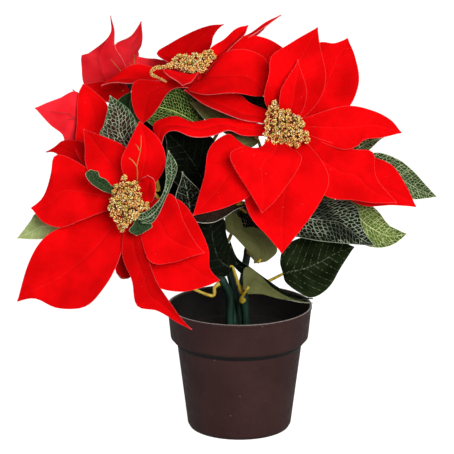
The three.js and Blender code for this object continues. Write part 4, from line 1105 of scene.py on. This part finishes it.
beadPoints, beadFaces = roundBead(2)
for seed, (name, flower) in enumerate(flowers.items()):
    makeBeadedCentre(name, flower, 40 + seed)
print("beaded centres made")


# ---- stems
stem = {
    "foot": 22, "plugTop": 48, "overPlug": 4, "riseTo": 90, "neckLong": 26, "steps": 120, "sides": 20,
    "collar": 5.2, "collarLong": 4.05, "knot": 0.7, "knotLong": 2.5,
}
stemPaths = {}
for name, flower in flowers.items():
    facing = unit(flower["facing"])
    hub = np.array(flower["hub"], float)
    footX, footY = flower["stemFoot"]
    stemPaths[name] = evenly(curveThrough([
        (footX, footY, stem["foot"]), (footX, footY, stem["plugTop"] + stem["overPlug"]),
        (footX, footY, stem["riseTo"]), *flower["stemThrough"],
        hub - stem["neckLong"] * facing, hub - bract["stemGap"] * facing,
    ], 400), stem["steps"])


# ---- leaves
leafLook = {
    "stalkRadius": 1.3, "startShare": 1.15, "taper": 0.3, "endShare": 0.5, "stalkSteps": 26,
    "stalkSides": 10, "gap": 0.6, "neck": 3, "cup": 2.5, "straight": 5, "swell": 0.5, "swellLong": 0.05,
    "seat": 0.1, "seatDeep": 0.4,  # the stalk ends this share along the blade and this far behind it
    "ribReach": 0.86, "ribThick": (0.9, 0.3), "phaseEach": 0.8,
}


# stem and at say where the stalk joins: whose stem it is, and how far along; kind is the leaf's print
def blade(stem, at, kind, root, tip, left, right, **more):
    return {"stem": stem, "at": at, "print": kind, "root": root, "tip": tip,
            "left": left, "right": right, **more}


leaves = {
    "upright_leaf": blade("far", 0.7, "brown", (-90, -40, 239), (-103, -36, 287),
        [(-103, -43, 243), (-111, -45, 257), (-108, -43, 264), (-105, -39, 276)],
        [(-75, -41, 242), (-79, -41, 258), (-87, -39, 275), (-97, -37, 283)]),
    "corner_leaf": blade("far", 0.75, "plain", (-82, 0, 254), (-85, 0, 283),
        [(-93, -4, 260), (-98, -6, 275), (-93, -3, 281)], [(-80, -2, 262), (-79, -2, 275)]),
    "under_top_leaf": blade("top", 0.88, "green", (-29, -2, 250), (-80, -8, 275),
        [(-43, -9, 251), (-64, -16, 256), (-77, -12, 264)],
        [(-32, 0, 268), (-43, 2, 281), (-55, 1, 286), (-68, -3, 283)]),
    "turned_leaf": blade("right", 0.8, "dark", (15, -22, 248), (-40, -5, 275),
        [(8, -27, 243), (-6, -27, 250), (-20, -22, 260), (-32, -14, 268)],
        [(12, -14, 262), (-5, -8, 268), (-22, 1, 273), (-32, -3, 276)], under=True),
    "long_right_leaf": blade("right", 0.72, "sage", (90, -5, 219), (160, -10, 198),
        [(109, -7, 234), (128, -8, 229), (140, -8, 220), (151, -10, 208)],
        [(118, -13, 206), (138, -13, 197), (151, -12, 197)]),
    "lower_right_leaf": blade("right", 0.6, "dark", (-1, -17, 190), (109, -30, 162),
        [(20, -18, 199), (66, -27, 200), (92, -28, 197), (99, -29, 176)],
        [(1, -20, 172), (24, -28, 170), (44, -35, 171), (64, -41, 169), (90, -36, 165)]),
    "yellow_green_leaf": blade("right", 0.66, "lime", (78, -10, 195), (136, -15, 168),
        [(91, -12, 200), (110, -12, 189), (121, -14, 176), (128, -15, 172)],
        [(88, -17, 177), (100, -20, 161), (115, -21, 158), (127, -18, 161)]),
    "hanging_leaf": blade("right", 0.4, "night", (36, -6, 132), (94, -4, 154),
        [(33, -7, 143), (37, -5, 155), (54, -1, 162), (78, -2, 161)],
        [(38, -10, 126), (46, -15, 120), (59, -18, 115), (73, -19, 124), (83, -12, 139)], via=(19, 0, 122)),
    "small_right_leaf": blade("right", 0.85, "sage", (85, -12, 229), (116, -14, 248),
        (101, -12, 249), (102, -16, 237)),
    "pale_left_leaf": blade("left", 0.8, "pale", (-129, -30, 188), (-179, -40, 171),
        [(-148, -45, 174), (-158, -46, 172), (-170, -43, 171)],
        [(-148, -35, 190), (-163, -38, 191), (-168, -39, 185)]),
    "notch_leaf": blade("left", 0.6, "outlined", (-40, -38, 190), (-46, -40, 226),
        (-52, -42, 206), (-31, -38, 205)),
    "dark_middle_leaf": blade("top", 0.62, "shadowBlack", (-23, -8, 192), (-62, -10, 253),
        (-58, -20, 218), (-23, 6, 242)),
    "rear_middle_leaf": blade("top", 0.55, "shadowBlack", (-19, 15, 181), (-41, 30, 283),
        [(-60, 14, 178), (-76, 18, 207), (-83, 20, 240), (-82, 23, 256), (-67, 27, 274)],
        [(-15, 16, 197), (-29, 18, 230), (-29, 22, 255), (-30, 26, 272)]),
    "edge_leaf": blade("top", 0.58, "umber", (2, -45, 201), (-42, -52, 191),
        [(-1, -46, 197), (-6, -49, 195), (-12, -54, 192), (-21, -57, 189), (-33, -56, 188)],
        [(-12, -47, 203), (-28, -50, 199)]),
    "olive_leaf": blade("right", 0.5, "dark", (14, -42, 151), (-8, -29, 193),
        [(11, -42, 155), (5, -40, 162), (-4, -35, 171), (-11, -30, 175), (-12, -29, 184)],
        [(23, -45, 154), (30, -44, 163), (19, -41, 176), (10, -38, 180), (3, -34, 178), (1, -31, 184)],
        under=True),
    "rim_leaf": blade("right", 0.34, "dark", (5, -24, 122), (61, 0, 105),
        [(3, -26, 138), (7, -25, 143), (17, -20, 134), (27, -14, 122), (42, -6, 111)],
        [(18, -22, 119), (33, -14, 113), (48, -6, 108)], via=(1, -16, 113), under=True),
    "under_left_leaf": blade("left", 0.46, "dark", (-46, -12, 124), (-84, -36, 165),
        (-72, -40, 146), (-58, -16, 160), via=(-23, -13, 115)),
    "rear_right_leaf": blade("right", 0.7, "green", (36, 20, 190), (80, 62, 198),
        (50, 52, 214), (74, 28, 180)),
    "rear_top_leaf": blade("top", 0.8, "shadowBlack", (-12, 34, 252), (32, 78, 262),
        (-8, 62, 266), (22, 50, 248)),
    "rear_left_leaf": blade("rear", 0.7, "dark", (-62, 56, 222), (-110, 104, 212),
        (-100, 66, 206), (-70, 98, 230)),
    "rear_low_leaf": blade("top", 0.5, "green", (-3, 28, 168), (28, 84, 162), (-4, 66, 176), (30, 44, 158)),
    "dark_rim_leaf": blade("top", 0.45, "shadowBlack", (-9, -6, 157), (61, 6, 107),
        [(-2, -9, 146), (9, -12, 139), (23, -10, 128), (42, -2, 114)],
        [(-7, -8, 142), (4, -12, 131), (21, -12, 119), (40, -6, 110)]),
    "black_green_leaf": blade("right", 0.38, "shadowBlack", (-5, -22, 142), (-22, -38, 197),
        [(-11, -26, 135), (-25, -28, 138), (-29, -31, 150), (-33, -34, 168), (-36, -37, 184)],
        [(-4, -23, 152), (-8, -27, 162), (-11, -31, 173), (-12, -35, 184)], via=(1, -14, 119)),
}


def alongStem(stemName, share):
    path = stemPaths[stemName]
    spot = share * (len(path) - 1)
    low = min(int(spot), len(path) - 2)
    return path[low] + (path[low + 1] - path[low]) * (spot - low), unit(path[low + 1] - path[low])


def makeLeaf(name, leaf, phase):
    join, direction = alongStem(leaf["stem"], leaf["at"])
    root = np.array(leaf["root"], float)
    away = np.array(leaf.get("via", root), float) - join
    away = unit(away - direction * (away @ direction))
    start = join + away * (flowers[leaf["stem"]]["stemRadius"] + leafLook["gap"])
    shaped = {"cup": leafLook["cup"], "neck": leafLook["neck"], "phase": phase, **leaf}
    under = leaf.get("under", False)
    deep = leafLook["seatDeep"] * (1 if under else -1)
    inBlade = sheetShape(shaped)(leafLook["seat"], 0.0, deep)[0]
    between = [leaf["via"]] if "via" in leaf else []
    route = [start, start + away * leafLook["straight"], *between, root + 0.2 * (inBlade - root), inBlade]
    stalk = evenly(curveThrough(route, 200), leafLook["stalkSteps"])
    share = np.linspace(0, 1, len(stalk))
    swelling = leafLook["swell"] * np.exp(-(share / leafLook["swellLong"]) ** 2)
    radii = leafLook["stalkRadius"] * (leafLook["startShare"] - leafLook["taper"] * share + swelling)
    radii[-1] *= leafLook["endShare"]
    parts = [tubePart(stalk, radii, leafLook["stalkSides"], 3)]
    parts.append(sheetPart(shaped, (1, 0, 2) if under else (0, 1, 2)))
    parts += ribParts(shaped, 1 if under else 3, leafLook["ribReach"], leafLook["ribThick"], under)
    makePiece(name.replace("_leaf", "Leaf"), name, parts,
              [leafPrints[leaf["print"]], oliveBack, leafCut, stalkYellow])


for number, (name, leaf) in enumerate(leaves.items()):
    makeLeaf(name, leaf, leafLook["phaseEach"] * number)
print("leaves made")


# Stems swell a little where a stalk leaves them, and end in a collar behind the flower.
for name, flower in flowers.items():
    path = stemPaths[name]
    lengths = travelled(path)
    radii = np.full(len(path), float(flower["stemRadius"]))
    for leaf in leaves.values():
        if leaf["stem"] == name:
            distance = lengths - leaf["at"] * lengths[-1]
            radii += stem["knot"] * np.exp(-(distance / stem["knotLong"]) ** 2)
    fromTop = lengths[-1] - lengths
    radii += (stem["collar"] - flower["stemRadius"]) * np.exp(-(fromTop / stem["collarLong"]) ** 2)
    makePiece(f"{name}Stem", f"{name}_stem", [tubePart(path, radii, stem["sides"])],
              [stemGreen])
print("stems made")


# ---- pot and its filling
pot = {
    "rimRadius": 60, "rimHeight": 104, "bandBottom": 77, "bandRadius": 57, "wallTop": 71,
    "wallTopRadius": 51.6, "innerBase": 41.6, "wallThick": 1.6, "floorThick": 3, "sides": 160,
    "foot": [(0, 1.0), (34, 1.0), (35.5, 0), (41.4, 0), (43.1, 3)],  # the raised middle, then the foot ring
    "rounding": 0.5,
}


def innerAt(z):
    share = (z - pot["floorThick"]) / (pot["wallTop"] - pot["floorThick"])
    return pot["innerBase"] + share * (pot["wallTopRadius"] - pot["wallThick"] - pot["innerBase"])


def roundCorners(profile, size, steps=3):
    rounded = [profile[0]]
    for before, corner, after in zip(profile[:-2], profile[1:-1], profile[2:]):
        corner = np.array(corner, float)
        toBefore, toAfter = np.array(before) - corner, np.array(after) - corner
        cut = min(size, np.linalg.norm(toBefore) * 0.45, np.linalg.norm(toAfter) * 0.45)
        a, b = corner + unit(toBefore) * cut, corner + unit(toAfter) * cut
        for t in np.linspace(0, 1, steps + 1):
            rounded.append(tuple((1 - t) ** 2 * a + 2 * t * (1 - t) * corner + t ** 2 * b))
    rounded.append(profile[-1])
    return rounded


# The inside is painted near-black up to the lip, as painted shade inside the pot.
def insidePot(spot):
    reach = innerAt(spot[2]) + (4.5 if spot[2] > pot["wallTop"] else 0.5)
    return pot["floorThick"] - 0.5 < spot[2] < pot["rimHeight"] - 1 and np.hypot(*spot[:2]) < reach


def makePot():
    rim, height, band, bandBottom = pot["rimRadius"], pot["rimHeight"], pot["bandRadius"], pot["bandBottom"]
    outline = [
        *pot["foot"], (pot["wallTopRadius"], pot["wallTop"]),
        (band - 1.3, bandBottom - 1.2), (band - 1.2, bandBottom), (band, bandBottom),
        (rim - 0.6, height - 3), (rim, height - 2), (rim, height), (rim - 1.7, height),
        (rim - 2.3, height - 2), (band - pot["wallThick"], bandBottom + 0.6),
        (pot["wallTopRadius"] - pot["wallThick"], pot["wallTop"] + 0.6), (innerAt(5), 5),
        (innerAt(3) - 2, pot["floorThick"]), (0, pot["floorThick"]),
    ]
    shell = turnedPart(roundCorners(outline, pot["rounding"]), np.zeros(3), (0, 0, 1), pot["sides"])
    shell["kinds"] = [int(insidePot(shell["points"][list(face)].mean(axis=0))) for face in shell["faces"]]
    makePiece("potShell", "pot", [shell], [potPlastic, potInsideShade], 50)


# waves: height, then how fast they come across and along; fillet: how far it climbs a stem, and its width
filling = {
    "broadWave": (0.7, 0.21, 0.17), "fineWave": (0.35, 0.6, 0.5), "fillet": (1.4, 30),
    "below": 0.6, "sides": 72,
}


# Trowelled by hand: low waves and a fillet up each stem.
def makeFilling():
    top = stem["plugTop"]
    broad, broadAcross, broadAlong = filling["broadWave"]
    fine, fineAcross, fineAlong = filling["fineWave"]
    climb, wide = filling["fillet"]
    profile = [(0, 3.4), (innerAt(3) - 2.5, 3.4), (innerAt(6) - 0.5, 6), (innerAt(top) - 0.5, top - 1.5)]
    profile += [(radius, top) for radius in np.linspace(innerAt(top) - 2, 2, 14)] + [(0, top)]
    part = turnedPart(profile, np.zeros(3), (0, 0, 1), filling["sides"])
    points = part["points"]
    upper = points[:, 2] > top - 0.5
    x, y = points[:, 0], points[:, 1]
    waves = broad * np.sin(broadAcross * x + 1.3) * np.cos(broadAlong * y)
    waves += fine * np.sin(fineAcross * x - fineAlong * y)
    for flower in flowers.values():
        footX, footY = flower["stemFoot"]
        waves += climb * np.exp(-((x - footX) ** 2 + (y - footY) ** 2) / wide)
    points[upper, 2] += waves[upper] - filling["below"]
    makePiece("potFilling", "plug", [part], [cement], 60)


makePot()
makeFilling()
print("pot made")


# ---- floor, light and camera
studio = {
    "floorSize": 16,
    "floorGrey": 0.40,
    "floorGlow": 0.95,
    "world": 0.29,
    "lamps": [
        # name, place, aim, size, watts
        ("keyLamp", (0.7, -2.0, 1.1), (0, 0, 0.2), 1.2, 47),
        ("fillLamp", (-1.7, -1.2, 1.2), (0, 0, 0.2), 1.4, 8),
    ],
    "lens": 185.8,
    "sensor": 36,
    "eye": (-0.0103, -1.86, 0.651),
    "lookDown": 14.5,
}


# The floor gives off light to the camera only, so it looks white and lights nothing.
def makeFloor():
    size, grey = studio["floorSize"], studio["floorGrey"]
    mesh = bpy.data.meshes.new("floor")
    corners = [(-size, -size, 0), (size, -size, 0), (size, size, 0), (-size, size, 0)]
    mesh.from_pydata(corners, [], [(0, 1, 2, 3)])
    material, tree, shader = newMaterial("white floor", Base_Color=(grey, grey, grey, 1.0), Roughness=0.9,
                                         Specular_IOR_Level=0.0, Emission_Color=(1.0, 1.0, 1.0, 1.0))
    seen = addNode(tree, "ShaderNodeLightPath")["Is Camera Ray"]
    feed(shader.inputs["Emission Strength"], seen * studio["floorGlow"])
    mesh.materials.append(material)
    intoScene("floor", mesh)


def makeLamps():
    world = bpy.data.worlds.new("studio")
    world.use_nodes = True
    world.node_tree.nodes["Background"].inputs["Color"].default_value = (1.0, 1.0, 1.0, 1.0)
    world.node_tree.nodes["Background"].inputs["Strength"].default_value = studio["world"]
    bpy.context.scene.world = world
    for name, spot, aim, size, watts in studio["lamps"]:
        lamp = bpy.data.lights.new(name, "AREA")
        lamp.shape = "DISK"
        lamp.size = size
        lamp.energy = watts
        holder = intoScene(name, lamp)
        holder.location = spot
        holder.rotation_euler = (Vector(aim) - Vector(spot)).to_track_quat("-Z", "Y").to_euler()


def makeCamera():
    lens = bpy.data.cameras.new("camera")
    lens.lens = studio["lens"]
    lens.sensor_width = studio["sensor"]
    lens.clip_end = 100
    camera = intoScene("camera", lens)
    camera.location = studio["eye"]
    camera.rotation_euler = (math.radians(90 - studio["lookDown"]), 0, 0)
    bpy.context.scene.camera = camera


makeFloor()
makeLamps()
makeCamera()
bpy.context.scene.view_settings.view_transform = "Standard"
